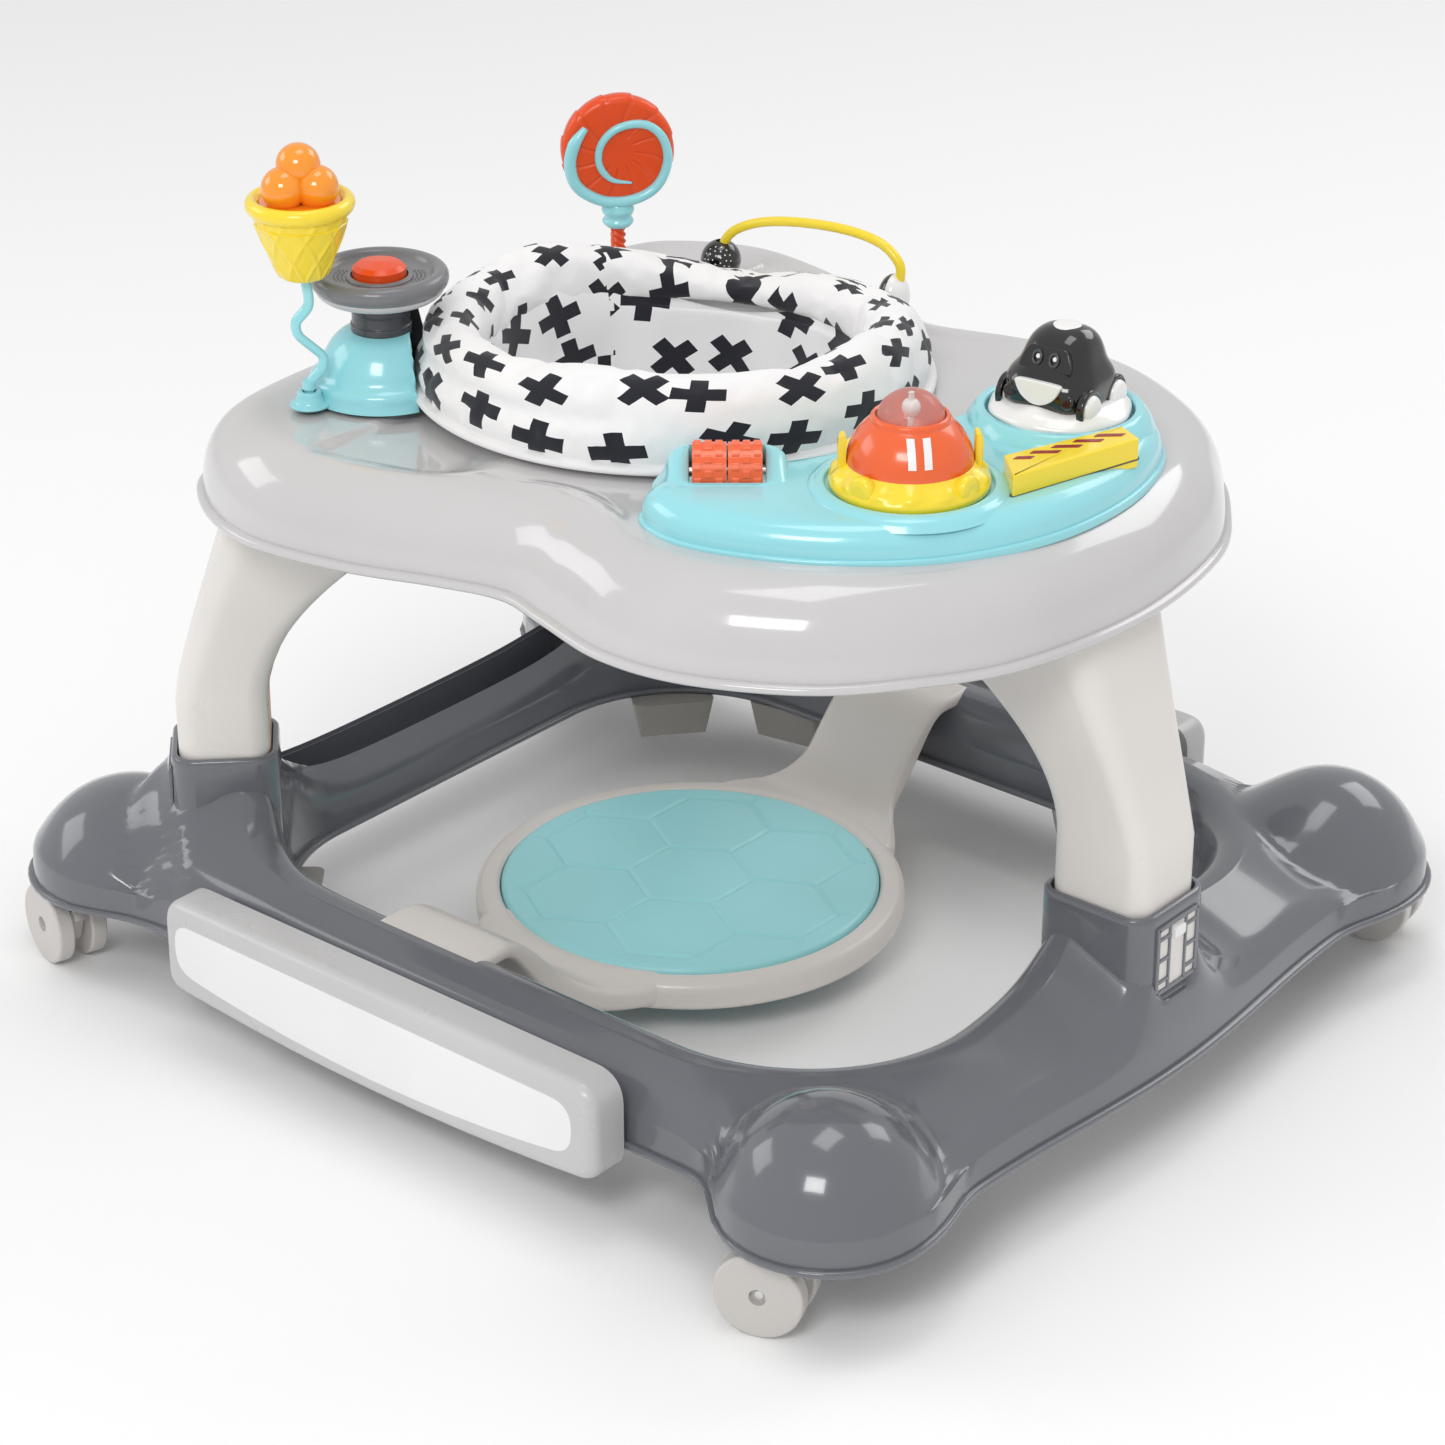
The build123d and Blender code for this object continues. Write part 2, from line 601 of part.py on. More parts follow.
def console_shell():
    """Cyan housing on the front lobe: hollow below, a hump for the rollers and rims for the toys."""
    cx, cy = direction(ROLLER_HEADING)
    with BuildPart() as console:
        with BuildSketch(Plane.XY.offset(TRAY_TOP)):
            with BuildLine():
                Spline(*CONSOLE_OUTLINE, periodic=True)
            make_face()
        extrude(amount=CONSOLE_TOP - TRAY_TOP)
        with BuildSketch(level(*ROLLER, TRAY_TOP, ROLLER_HEADING)):
            RectangleRounded(66, 46, 14)
        extrude(amount=ROLLER_Z + 8 - TRAY_TOP)
        for (x, y), r, high in ((DOME, DOME_R, 4), (CAR, CAR_R, 7)):
            with BuildSketch(Plane(origin=(x, y, CONSOLE_TOP))):
                Circle(r + 4.5)
                Circle(r + 0.6, mode=Mode.SUBTRACT)
            extrude(amount=high)
        with BuildSketch(Plane(origin=(*DOME, CONSOLE_TOP))):
            Circle(6)
        extrude(amount=8)
        # Hollows: under the toys, round the rollers, and the wells of the car and the key.
        for (x, y), r in ((DOME, DOME_R - 6), (CAR, CAR_R - 6)):
            with BuildSketch(Plane(origin=(x, y, TRAY_TOP))):
                Circle(r)
            extrude(amount=CONSOLE_TOP - TRAY_TOP - 4, mode=Mode.SUBTRACT)
        with BuildSketch(level(*ROLLER, TRAY_TOP, ROLLER_HEADING)):
            Rectangle(2 * ROLLER_W + 3, 2 * ROLLER_R + 3)
        extrude(amount=60, mode=Mode.SUBTRACT)
        with BuildSketch(Plane(origin=(ROLLER[0], ROLLER[1], ROLLER_Z), x_dir=(0, 0, 1), z_dir=(cx, cy, 0))):
            Circle(2)
        extrude(amount=26, both=True, mode=Mode.SUBTRACT)
        with BuildSketch(Plane.XY.offset(CONSOLE_TOP - 8)):
            with BuildLine():
                Polyline(*KEY_OUTLINE, close=True)
            make_face()
            offset(amount=0.8)
        extrude(amount=10, mode=Mode.SUBTRACT)
        with BuildSketch(Plane(origin=(*CAR, CONSOLE_TOP - 2))):
            Circle(10)
        extrude(amount=10, mode=Mode.SUBTRACT)
    keep(console.part, "console_shell")


def rollers():
    cx, cy = direction(ROLLER_HEADING)
    middle = Plane(origin=(ROLLER[0], ROLLER[1], ROLLER_Z), x_dir=(0, 0, 1), z_dir=(cx, cy, 0))
    for side, name in ((-1, "right"), (1, "left")):
        with BuildPart() as roller:
            with BuildSketch(middle.offset(side * 0.4)):
                Circle(ROLLER_R - 1)
                Circle(2 + FIT, mode=Mode.SUBTRACT)
            extrude(amount=side * ROLLER_W)
            for row in range(3):
                start = middle.offset(side * (2.6 + 6 * row))
                with BuildSketch(start):
                    with PolarLocations(ROLLER_R - 1.4, 12, start_angle=15 * (row % 2)):
                        SlotOverall(5, 2.8, rotation=90)
                extrude(amount=side * 4)
        keep(roller.part, f"roller_{name}")
    with BuildPart() as axle:
        with BuildSketch(middle.offset(-26)):
            Circle(2)
        extrude(amount=52)
    keep(axle.part, "roller_axle")


def dome_toy():
    """Car-shaped rattle that turns on a pin: yellow skirt, orange dome, clear window with beads."""
    x, y = DOME
    low = CONSOLE_TOP + 0.4
    shell = dome_skin(35, low + 12, low + 22, low + 46, 3)
    lens = dome_skin(19, low + 34, low + 38, low + 56, 2)
    with BuildPart() as skirt:
        with BuildSketch(Plane(origin=(x, y, low))):
            Circle(DOME_R)
        extrude(amount=5)
        with BuildSketch(Plane(origin=(x, y, low + 5))):
            Circle(DOME_R - 3)
        extrude(amount=7, taper=40)
        with BuildSketch(Plane(origin=(x, y, low + 5))):
            with PolarLocations(DOME_R - 11, 4, start_angle=45):
                Circle(9)
        extrude(amount=12)
        with BuildSketch(Plane(origin=(x, y, low + 12))):
            Circle(35)
        extrude(amount=20, mode=Mode.SUBTRACT)
        with BuildSketch(Plane(origin=(x, y, low))):
            Circle(6 + FIT)
        extrude(amount=12, mode=Mode.SUBTRACT)
    keep(skirt.part, "dome_skirt")
    with BuildPart() as body:
        with Locations((x, y)):
            add(shell)
        with BuildSketch(Plane(origin=(x, y, low + 20))):
            Circle(19)
        extrude(amount=40, mode=Mode.SUBTRACT)
    keep(body.part, "dome_shell")
    with BuildPart() as window:
        with Locations((x, y)):
            add(lens)
    keep(window.part, "dome_window")
    with BuildPart() as beads:
        with BuildSketch(Plane(origin=(x, y, low + 12))):
            Circle(1.6)
        extrude(amount=41)
        with Locations((x, y, low + 44)):
            Sphere(4.5)
    keep(beads.part, "dome_beads")


def car_toy():
    """Press-down car: white skirt with four wheels, black body."""
    low = CONSOLE_TOP + CAR_TRAVEL + 0.5
    here = level(*CAR, low, CAR_HEADING)
    with BuildPart() as skirt:
        with BuildSketch(here):
            Circle(CAR_R)
        extrude(amount=4)
        with BuildSketch(here.offset(4)):
            Circle(CAR_R - 2)
        extrude(amount=5, taper=30)
        with BuildSketch(here.offset(9)):
            with GridLocations(30, 61, 2, 2):
                Rectangle(16, 4.6)
        extrude(amount=7)
    keep(skirt.part, "car_skirt")
    with BuildPart() as body:
        with BuildSketch(here.offset(9)):
            RectangleRounded(54, 56, 14)
        extrude(amount=20)
        with BuildSketch(here.offset(29)):
            RectangleRounded(52, 54, 16)
        with BuildSketch(here.offset(52)):
            with Locations((-4, 0)):
                RectangleRounded(32, 36, 14)
        loft()
    keep(body.part, "car_body")


def piano_key():
    """Wedge key that is pressed, with five strips let into its top."""
    with BuildPart() as key:
        with BuildSketch(Plane.XY.offset(CONSOLE_TOP - 8 + KEY_TRAVEL + 0.5)):
            with BuildLine():
                Polyline(*KEY_OUTLINE, close=True)
            make_face()
        extrude(amount=17)
    top = CONSOLE_TOP - 8 + KEY_TRAVEL + 0.5 + 17
    (ax, ay), (bx, by), (ex, ey), (fx, fy) = KEY_OUTLINE
    with BuildPart() as strips:
        for i in range(5):
            t = 0.12 + 0.17 * i
            px, py = ax + (fx - ax) * t, ay + (fy - ay) * t
            qx, qy = bx + (ex - bx) * t, by + (ey - by) * t
            turn = math.degrees(math.atan2(qy - py, qx - px))
            with BuildSketch(level((px + qx) / 2, (py + qy) / 2, top - 1, turn)):
                SlotOverall(math.hypot(qx - px, qy - py) - 6, 5)
            extrude(amount=2)
    with BuildPart() as slotted:
        add(key.part)
        add(strips.part, mode=Mode.SUBTRACT)
    keep(slotted.part, "piano_key")
    keep(strips.part, "piano_key_strips")


def battery_door():
    with BuildPart() as door:
        with BuildSketch(Plane(origin=(170, -96, TRAY_SHOULDER - WALL - 3))):
            RectangleRounded(58, 34, 4)
        extrude(amount=3)
    keep(door.part, "battery_door")


# ---- toys on the tray ------------------------------------------------------------------
WHEEL_TOY = (-160.0, -118.0)
ICE = (-172.0, -168.0)
ICE_SIDE = 40.0  # heading in which the wavy stem bends
LOLLY = (-181.0, 118.0)
LOLLY_FACE = -40.0  # heading that the disc faces
BALL = (-124.0, 152.0)
POD = (8.0, 167.0)
SOCKET_H = 9.0
PIVOT_Z = TRAY_TOP + 6.0
STEM_BALL_R = 3.6


def toy_sockets():
    """Two flanges that hold the ball ends of the swaying toys."""
    with BuildPart() as sockets:
        for x, y in (ICE, LOLLY):
            with BuildSketch(Plane(origin=(x, y, TRAY_TOP))):
                Circle(8.5)
            extrude(amount=2)
            with BuildSketch(Plane(origin=(x, y, TRAY_TOP + 2))):
                Circle(6.6)
            extrude(amount=SOCKET_H - 2)
            with BuildSketch(Plane(origin=(x, y, PIVOT_Z))):
                Circle(STEM_BALL_R + GAP)
            extrude(amount=20, mode=Mode.SUBTRACT)
            with Locations((x, y, PIVOT_Z)):
                Sphere(STEM_BALL_R + GAP, mode=Mode.SUBTRACT)
    keep(sockets.part, "toy_sockets")


def steering_wheel():
    """Cyan mound, dark neck, and the wheel that turns on it with a push button in the middle."""
    x, y = WHEEL_TOY
    mound_body = turned([
        (0, TRAY_TOP), (42, TRAY_TOP), (41.5, TRAY_TOP + 8), (36, TRAY_TOP + 24), (26, TRAY_TOP + 36),
        (0, TRAY_TOP + 36),
    ])
    with BuildPart() as mound:
        with Locations((x, y)):
            add(mound_body)
        with BuildSketch(Plane(origin=(SEAT_X, 0, TRAY_TOP))):
            Circle(HEM_R + 6)
        extrude(amount=60, mode=Mode.SUBTRACT)
    keep(mound.part, "wheel_mound")
    neck_top = TRAY_TOP + 57
    with BuildPart() as neck:
        with BuildSketch(Plane(origin=(x, y, TRAY_TOP + 36))):
            Circle(18)
        extrude(amount=neck_top - TRAY_TOP - 36)
        with BuildSketch(Plane(origin=(x, y, neck_top))):
            Circle(7)
        extrude(amount=5)
    keep(neck.part, "wheel_neck")
    with BuildPart() as under:
        with BuildSketch(Plane(origin=(x, y, neck_top + 0.4))):
            Circle(36)
            Circle(7 + FIT, mode=Mode.SUBTRACT)
        extrude(amount=5)
    keep(under.part, "steering_underside")
    rim_low = neck_top + 5.4
    rim_body = turned([
        (0, rim_low), (38, rim_low), (41, rim_low + 4), (41, rim_low + 9), (38, rim_low + 12),
        (33, rim_low + 12), (29, rim_low + 7), (18, rim_low + 6), (0, rim_low + 6),
    ])
    with BuildPart() as rim:
        with Locations((x, y)):
            add(rim_body)
        with BuildSketch(Plane(origin=(x, y, rim_low + 1))):
            Circle(16 + GAP)
        extrude(amount=20, mode=Mode.SUBTRACT)
    keep(rim.part, "steering_wheel")
    horn_low = rim_low + 4.5
    horn_body = turned([
        (0, horn_low), (16, horn_low), (16, horn_low + 8), (13, horn_low + 10.5), (0, horn_low + 12),
    ])
    with BuildPart() as horn:
        with Locations((x, y)):
            add(horn_body)
    keep(horn.part, "horn_button")


def ice_cream():
    """Wavy stem on a ball end, a cone with a thick rim, and three scoops."""
    x, y = ICE
    wave = [(0, PIVOT_Z), (0, 398), (10, 408), (10, 418), (-10, 430), (-10, 440), (0, 448), (0, 462)]
    tube = bent_tube(upright(x, y, 0, ICE_SIDE), wave, 5.5, 2.8)
    with BuildPart() as stem:
        add(tube)
        with Locations((x, y, PIVOT_Z)):
            Sphere(STEM_BALL_R)
    keep(stem.part, "ice_cream_stem")
    cone_body = turned([
        (0, 460), (15, 460), (27, 500), (31, 502), (32, 506), (30, 510), (26, 510), (24, 504),
        (12, 464), (0, 464),
    ])
    with BuildPart() as cone:
        with Locations((x, y)):
            add(cone_body)
        with BuildSketch(Plane(origin=(x, y, 459))):
            Circle(2.8)
        extrude(amount=3, mode=Mode.SUBTRACT)
    keep(cone.part, "ice_cream_cone")
    with BuildPart() as scoops:
        with Locations((x, y, 504)):
            Cylinder(23.5, 3, align=(Align.CENTER, Align.CENTER, Align.MIN))
        with Locations((x, y)):
            with PolarLocations(11, 3, start_angle=20):
                with Locations((0, 0, 516)):
                    Sphere(13)
        with Locations((x, y, 528)):
            Sphere(13)
    keep(scoops.part, "ice_cream_scoops")


def lollipop():
    """Twisted stem on a ball end, a flat disc and a spiral let into its face."""
    x, y = LOLLY
    middle_z = 463.0
    nx, ny = direction(LOLLY_FACE)
    face = Plane(origin=(x, y, middle_z), x_dir=(-ny, nx, 0), z_dir=(nx, ny, 0))
    with BuildPart() as stem:
        with BuildSketch(Plane(origin=(x, y, PIVOT_Z))):
            Circle(3)
        extrude(amount=middle_z - 50 - PIVOT_Z)
        with BuildSketch(Plane(origin=(x, y, PIVOT_Z + 6))):
            RegularPolygon(4.6, 5)
        extrude(amount=middle_z - 50 - PIVOT_Z - 6)
        with Locations((x, y, PIVOT_Z)):
            Sphere(STEM_BALL_R)
    keep(stem.part, "lollipop_stem")
    with BuildPart() as swirl:
        with BuildSketch(Plane(origin=(x, y, middle_z - 50))):
            Circle(10)
        extrude(amount=12)
        for r, start, size in ((31, 175, 185), (19, -40, 300)):
            with BuildSketch(face.offset(-9)):
                with BuildLine():
                    CenterArc((0, 0), r, start, size)
                    offset(amount=3.2, side=Side.BOTH)
                make_face()
            extrude(amount=18)
    with BuildPart() as disc:
        with BuildSketch(face.offset(-7)):
            Circle(36)
        extrude(amount=14)
        fillet(disc.edges().filter_by(GeomType.CIRCLE), radius=4)
        add(swirl.part, mode=Mode.SUBTRACT)
    keep(swirl.part, "lollipop_swirl")
    keep(disc.part, "lollipop_disc")


def arch():
    """Yellow bar between a spinning ball and a pod on the tray."""
    turn = math.degrees(math.atan2(POD[1] - BALL[1], POD[0] - BALL[0]))
    span = math.hypot(POD[0] - BALL[0], POD[1] - BALL[1])
    route = [
        (0, TRAY_TOP), (0, 415), (30, 423), (70, 431), (104, 433), (span, 428), (span, 396),
    ]
    tube = bent_tube(upright(*BALL, 0, turn), route, 8, 3.2)
    with BuildPart() as bar:
        add(tube)
    keep(bar.part, "arch_bar")
    with BuildPart() as ball:
        with Locations((*BALL, TRAY_TOP + 13.4)):
            Sphere(13)
        with BuildSketch(Plane(origin=(*BALL, TRAY_TOP))):
            Circle(3.2 + FIT)
        extrude(amount=60, mode=Mode.SUBTRACT)
    keep(ball.part, "arch_ball")
    pod_body = turned([(0, 380), (10, 380), (12, 388), (12, 398), (9, 407), (5, 410), (0, 410)])
    with BuildPart() as pod:
        with Locations((*POD, 0)):
            add(pod_body)
        with BuildSketch(Plane(origin=(*POD, 396))):
            Circle(3.2)
        extrude(amount=30, mode=Mode.SUBTRACT)
    keep(pod.part, "arch_pod")


for make in (
    base_shell, rocker_bars, grip_pads, casters, legs, height_buttons, tray_shell, seat_collar, seat,
    foot_pad, console_shell, rollers, dome_toy, car_toy, piano_key, battery_door, toy_sockets,
    steering_wheel, ice_cream, lollipop, arch,
):
    make()
    print(make.__name__, flush=True)
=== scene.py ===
from math import atan2, copysign, cos, degrees, exp, floor, hypot, pi, radians, sin, sqrt, tan
import bmesh
import bpy
import numpy as np
from mathutils import Matrix, Vector, noise


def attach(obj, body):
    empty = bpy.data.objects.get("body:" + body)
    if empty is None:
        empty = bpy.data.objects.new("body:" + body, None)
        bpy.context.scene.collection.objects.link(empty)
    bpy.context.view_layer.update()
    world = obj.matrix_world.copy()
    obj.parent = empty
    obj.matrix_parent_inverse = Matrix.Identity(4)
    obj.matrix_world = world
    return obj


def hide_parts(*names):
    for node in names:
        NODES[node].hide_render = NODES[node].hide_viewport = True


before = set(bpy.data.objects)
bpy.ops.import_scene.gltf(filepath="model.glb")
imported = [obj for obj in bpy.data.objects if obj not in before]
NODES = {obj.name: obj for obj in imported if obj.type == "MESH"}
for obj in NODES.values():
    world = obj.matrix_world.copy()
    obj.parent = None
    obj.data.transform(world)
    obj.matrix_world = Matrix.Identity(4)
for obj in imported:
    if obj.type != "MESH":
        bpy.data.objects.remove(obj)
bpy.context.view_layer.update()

MM = 0.001


# ---- colour and materials ------------------------------------------------------------
def linear(rgb):
    """A colour of 0 to 255 as the linear value that a shader socket takes."""
    out = []
    for c in rgb:
        c = c / 255.0
        out.append(c / 12.92 if c <= 0.04045 else ((c + 0.055) / 1.055) ** 2.4)
    return (*out, 1.0)


def shader(name):
    mat = bpy.data.materials.new(name)
    mat.use_nodes = True
    tree = mat.node_tree
    bsdf = tree.nodes["Principled BSDF"]
    return mat, tree, bsdf


def noise_fac(tree, scale, detail=2.0, coord=None):
    node = tree.nodes.new("ShaderNodeTexNoise")
    node.inputs["Scale"].default_value = scale
    node.inputs["Detail"].default_value = detail
    if coord is not None:
        tree.links.new(coord, node.inputs["Vector"])
    return node.outputs["Fac"]


def map_range(tree, value, low, high, span=(0.0, 1.0)):
    node = tree.nodes.new("ShaderNodeMapRange")
    node.inputs["From Min"].default_value, node.inputs["From Max"].default_value = span
    node.inputs["To Min"].default_value, node.inputs["To Max"].default_value = low, high
    tree.links.new(value, node.inputs["Value"])
    return node.outputs["Result"]


def bump(tree, height, strength, distance):
    node = tree.nodes.new("ShaderNodeBump")
    node.inputs["Strength"].default_value = strength
    node.inputs["Distance"].default_value = distance
    tree.links.new(height, node.inputs["Height"])
    return node.outputs["Normal"]


def settings(bsdf, **values):
    for name, value in values.items():
        bsdf.inputs[name.replace("_", " ")].default_value = value


def plastic(name, rgb, rough=0.25, coat=0.3, grain=0.012, tint=0.03):
    """Moulded plastic: faint colour drift, uneven gloss and a very fine surface grain."""
    mat, tree, bsdf = shader(name)
    links = tree.links
    coord = tree.nodes.new("ShaderNodeTexCoord").outputs["Object"]
    base = linear(rgb)[:3]
    ramp = tree.nodes.new("ShaderNodeValToRGB")
    low, high = ramp.color_ramp.elements
    low.position, high.position = 0.3, 0.7
    low.color = (*[c * (1 - tint) for c in base], 1)
    high.color = (*[min(1.0, c * (1 + tint)) for c in base], 1)
    links.new(noise_fac(tree, 9.0, 3.0, coord), ramp.inputs["Fac"])
    links.new(ramp.outputs["Color"], bsdf.inputs["Base Color"])
    gloss = map_range(tree, noise_fac(tree, 40.0, 4.0, coord), rough * 0.85, rough * 1.15, (0.3, 0.7))
    links.new(gloss, bsdf.inputs["Roughness"])
    links.new(bump(tree, noise_fac(tree, 900.0, 2.0, coord), grain, 0.001), bsdf.inputs["Normal"])
    settings(bsdf, Coat_Weight=coat, Coat_Roughness=0.06, IOR=1.5)
    return mat


def clear_plastic():
    mat, tree, bsdf = shader("clear window")
    tree.links.new(map_range(tree, noise_fac(tree, 60.0), 0.02, 0.07), bsdf.inputs["Roughness"])
    settings(bsdf, Base_Color=(1.0, 0.95, 0.92, 1), Transmission_Weight=0.82, IOR=1.25)
    return mat


def steel():
    mat, tree, bsdf = shader("steel")
    tree.links.new(map_range(tree, noise_fac(tree, 300.0), 0.25, 0.4), bsdf.inputs["Roughness"])
    settings(bsdf, Base_Color=(0.72, 0.72, 0.71, 1), Metallic=1.0)
    return mat


def math_node(tree, kind, a, b=None, c=None):
    node = tree.nodes.new("ShaderNodeMath")
    node.operation = kind
    for i, v in enumerate((a, b, c)):
        if v is None:
            continue
        if isinstance(v, (int, float)):
            node.inputs[i].default_value = v
        else:
            tree.links.new(v, node.inputs[i])
    return node.outputs[0]


def fabric(name, crosses=True, ground=(243, 242, 242)):
    """White jersey with near-black crosses, each turned at random, and a fine knit bump."""
    mat, tree, bsdf = shader(name)
    nodes, links = tree.nodes, tree.links
    uv = nodes.new("ShaderNodeUVMap")
    uv.uv_map = "UVMap"
    if crosses:
        cell = nodes.new("ShaderNodeTexVoronoi")
        cell.voronoi_dimensions = "2D"
        cell.feature = "F1"
        cell.inputs["Scale"].default_value = 1.0
        cell.inputs["Randomness"].default_value = 0.42
        links.new(uv.outputs["UV"], cell.inputs["Vector"])
        away = nodes.new("ShaderNodeVectorMath")
        away.operation = "SUBTRACT"
        links.new(uv.outputs["UV"], away.inputs[0])
        links.new(cell.outputs["Position"], away.inputs[1])
        parts = nodes.new("ShaderNodeSeparateColor")
        links.new(cell.outputs["Color"], parts.inputs["Color"])
        angle = math_node(tree, "MULTIPLY", parts.outputs[0], 6.283)
        turn = nodes.new("ShaderNodeVectorRotate")
        turn.rotation_type = "Z_AXIS"
        links.new(away.outputs[0], turn.inputs["Vector"])
        links.new(angle, turn.inputs["Angle"])
        xy = nodes.new("ShaderNodeSeparateXYZ")
        links.new(turn.outputs[0], xy.inputs[0])
        ax = math_node(tree, "ABSOLUTE", xy.outputs[0])
        ay = math_node(tree, "ABSOLUTE", xy.outputs[1])
        small = math_node(tree, "MINIMUM", ax, ay)
        large = math_node(tree, "MAXIMUM", ax, ay)
        narrow = math_node(tree, "LESS_THAN", small, 0.112)
        short = math_node(tree, "LESS_THAN", large, 0.335)
        mask = math_node(tree, "MULTIPLY", narrow, short)
        mix = nodes.new("ShaderNodeMix")
        mix.data_type = "RGBA"
        mix.inputs[6].default_value = linear(ground)
        mix.inputs[7].default_value = linear((38, 39, 46))
        links.new(mask, mix.inputs[0])
        links.new(mix.outputs[2], bsdf.inputs["Base Color"])
    else:
        bsdf.inputs["Base Color"].default_value = linear(ground)
    knit = nodes.new("ShaderNodeTexWave")
    knit.inputs["Scale"].default_value = 42.0
    knit.inputs["Distortion"].default_value = 1.5
    links.new(uv.outputs["UV"], knit.inputs["Vector"])
    coord = nodes.new("ShaderNodeTexCoord").outputs["Object"]
    both = math_node(tree, "ADD", knit.outputs["Fac"], noise_fac(tree, 500.0, 2.0, coord))
    links.new(bump(tree, both, 0.18, 0.0006), bsdf.inputs["Normal"])
    settings(bsdf, Roughness=0.9, Sheen_Weight=0.25, Specular_IOR_Level=0.2)
    return mat


MATS = {
    "base_grey": plastic("base grey", (104, 106, 112), 0.16, 0.6, 0.004),
    "grip_grey": plastic("grip grey", (168, 165, 160), 0.5, 0.0, 0.05),
    "panel_grey": plastic("panel grey", (198, 197, 197), 0.3, 0.2),
    "inlay_white": plastic("inlay white", (238, 237, 237), 0.35, 0.15),
    "tray_grey": plastic("tray grey", (203, 201, 201), 0.14, 0.6, 0.004),
    "leg_white": plastic("leg white", (229, 225, 220), 0.32, 0.2, 0.02),
    "cyan": plastic("cyan", (152, 222, 230), 0.2, 0.5, 0.006),
    "steel": steel(),
    "neck_dark": plastic("neck dark", (66, 68, 72), 0.3, 0.2),
    "yellow": plastic("yellow", (250, 222, 50), 0.25, 0.4),
    "white": plastic("white", (243, 242, 241), 0.22, 0.4),
    "seat_fabric": fabric("seat fabric"),
    "pad_ring_grey": plastic("pad ring grey", (222, 216, 210), 0.34, 0.15, 0.02),
    "pad_cyan": plastic("pad cyan", (162, 226, 230), 0.38, 0.1, 0.03),
    "wheel_grey": plastic("wheel grey", (118, 119, 122), 0.3, 0.3),
    "orange_red": plastic("orange red", (234, 76, 8), 0.32, 0.12),
    "orange": plastic("orange", (240, 100, 46), 0.24, 0.45),
    "black": plastic("black", (20, 20, 22), 0.12, 0.7, 0.004),
    "dark_red": plastic("dark red", (152, 34, 34), 0.3, 0.3),
    "scoop_orange": plastic("scoop orange", (252, 154, 34), 0.12, 0.7),
    "caster_grey": plastic("caster grey", (200, 196, 192), 0.32, 0.2),
    "clear": clear_plastic(),
}
LINING = fabric("seat lining", crosses=True, ground=(240, 239, 240))
TRIM = fabric("white binding", crosses=False, ground=(236, 235, 235))
# Painted shade: a tan colour standing for the shaded hollow inside each leg's channel.
CHANNEL_SHADE = plastic("painted channel shade", (196, 172, 138), 0.45, 0.1)
TAG = plastic("tag", (24, 24, 26), 0.7, 0.0, 0.2)


# ---- mesh helpers (all in millimetres) --------------------------------------------------
def mesh(name, verts, faces, slot, body, mat=None, smooth=True, angle=None, nodes=()):
    """A mesh coloured with its slot's material and, when a body is given, hung on that body; nodes are the
    CAD nodes it stands for.
    """
    me = bpy.data.meshes.new(name)
    me.from_pydata([tuple(float(c) * MM for c in v) for v in verts], [], faces)
    me.materials.append(mat or MATS[slot])
    ob = bpy.data.objects.new(name, me)
    bpy.context.scene.collection.objects.link(ob)
    bm = bmesh.new()
    bm.from_mesh(me)
    bmesh.ops.remove_doubles(bm, verts=bm.verts, dist=1e-6)
    bmesh.ops.recalc_face_normals(bm, faces=bm.faces)
    for f in bm.faces:
        f.smooth = smooth
    if angle:
        for e in bm.edges:
            if len(e.link_faces) == 2 and e.calc_face_angle(0) > radians(angle):
                e.smooth = False
    bm.to_mesh(me)
    bm.free()
    if body:
        finish(ob, slot, body, *nodes)
    return ob


def finish(ob, slot, body, *nodes):
    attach(ob, body)
    if nodes:
        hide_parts(*nodes)


def wall(ob, thickness, offset=-1):
    thick = ob.modifiers.new("wall", "SOLIDIFY")
    thick.thickness, thick.offset = thickness, offset


def subdivide(ob):
    sub = ob.modifiers.new("smooth", "SUBSURF")
    sub.levels = sub.render_levels = 1


def skin(rows, loop=True, ring=False, caps=False):
    """Faces over equal rows of points; loop closes each row, ring joins the last row to the first."""
    n, m = len(rows), len(rows[0])
    verts = [tuple(p) for row in rows for p in row]
    faces = []
    for i in range(n if ring else n - 1):
        a, b = i * m, ((i + 1) % n) * m
        for j in range(m if loop else m - 1):
            k = (j + 1) % m
            faces.append((a + j, a + k, b + k, b + j))
    if caps:
        faces.append(tuple(range(m))[::-1])
        faces.append(tuple((n - 1) * m + j for j in range(m)))
    return verts, faces


def smooth_path(points, count, closed=True):
    """Catmull-Rom through the points, spaced evenly."""
    pts = np.array(points, float)
    n = len(pts)
    out = []
    for i in range(n if closed else n - 1):
        if closed:
            p0, p1, p2, p3 = pts[i - 1], pts[i], pts[(i + 1) % n], pts[(i + 2) % n]
        else:
            p1, p2 = pts[i], pts[i + 1]
            p0 = pts[i - 1] if i else 2 * p1 - p2
            p3 = pts[i + 2] if i + 2 < n else 2 * p2 - p1
        for t in np.linspace(0, 1, 24, endpoint=False):
            out.append(0.5 * (2 * p1 + (p2 - p0) * t + (2 * p0 - 5 * p1 + 4 * p2 - p3) * t**2
                + (3 * p1 - p0 - 3 * p2 + p3) * t**3))
    out.append(out[0] if closed else pts[-1])
    out = np.array(out)
    run = np.concatenate([[0], np.cumsum(np.linalg.norm(np.diff(out, axis=0), axis=1))])
    at = np.linspace(0, run[-1], count, endpoint=not closed)
    return np.stack([np.interp(at, run, out[:, k]) for k in range(out.shape[1])], axis=1)


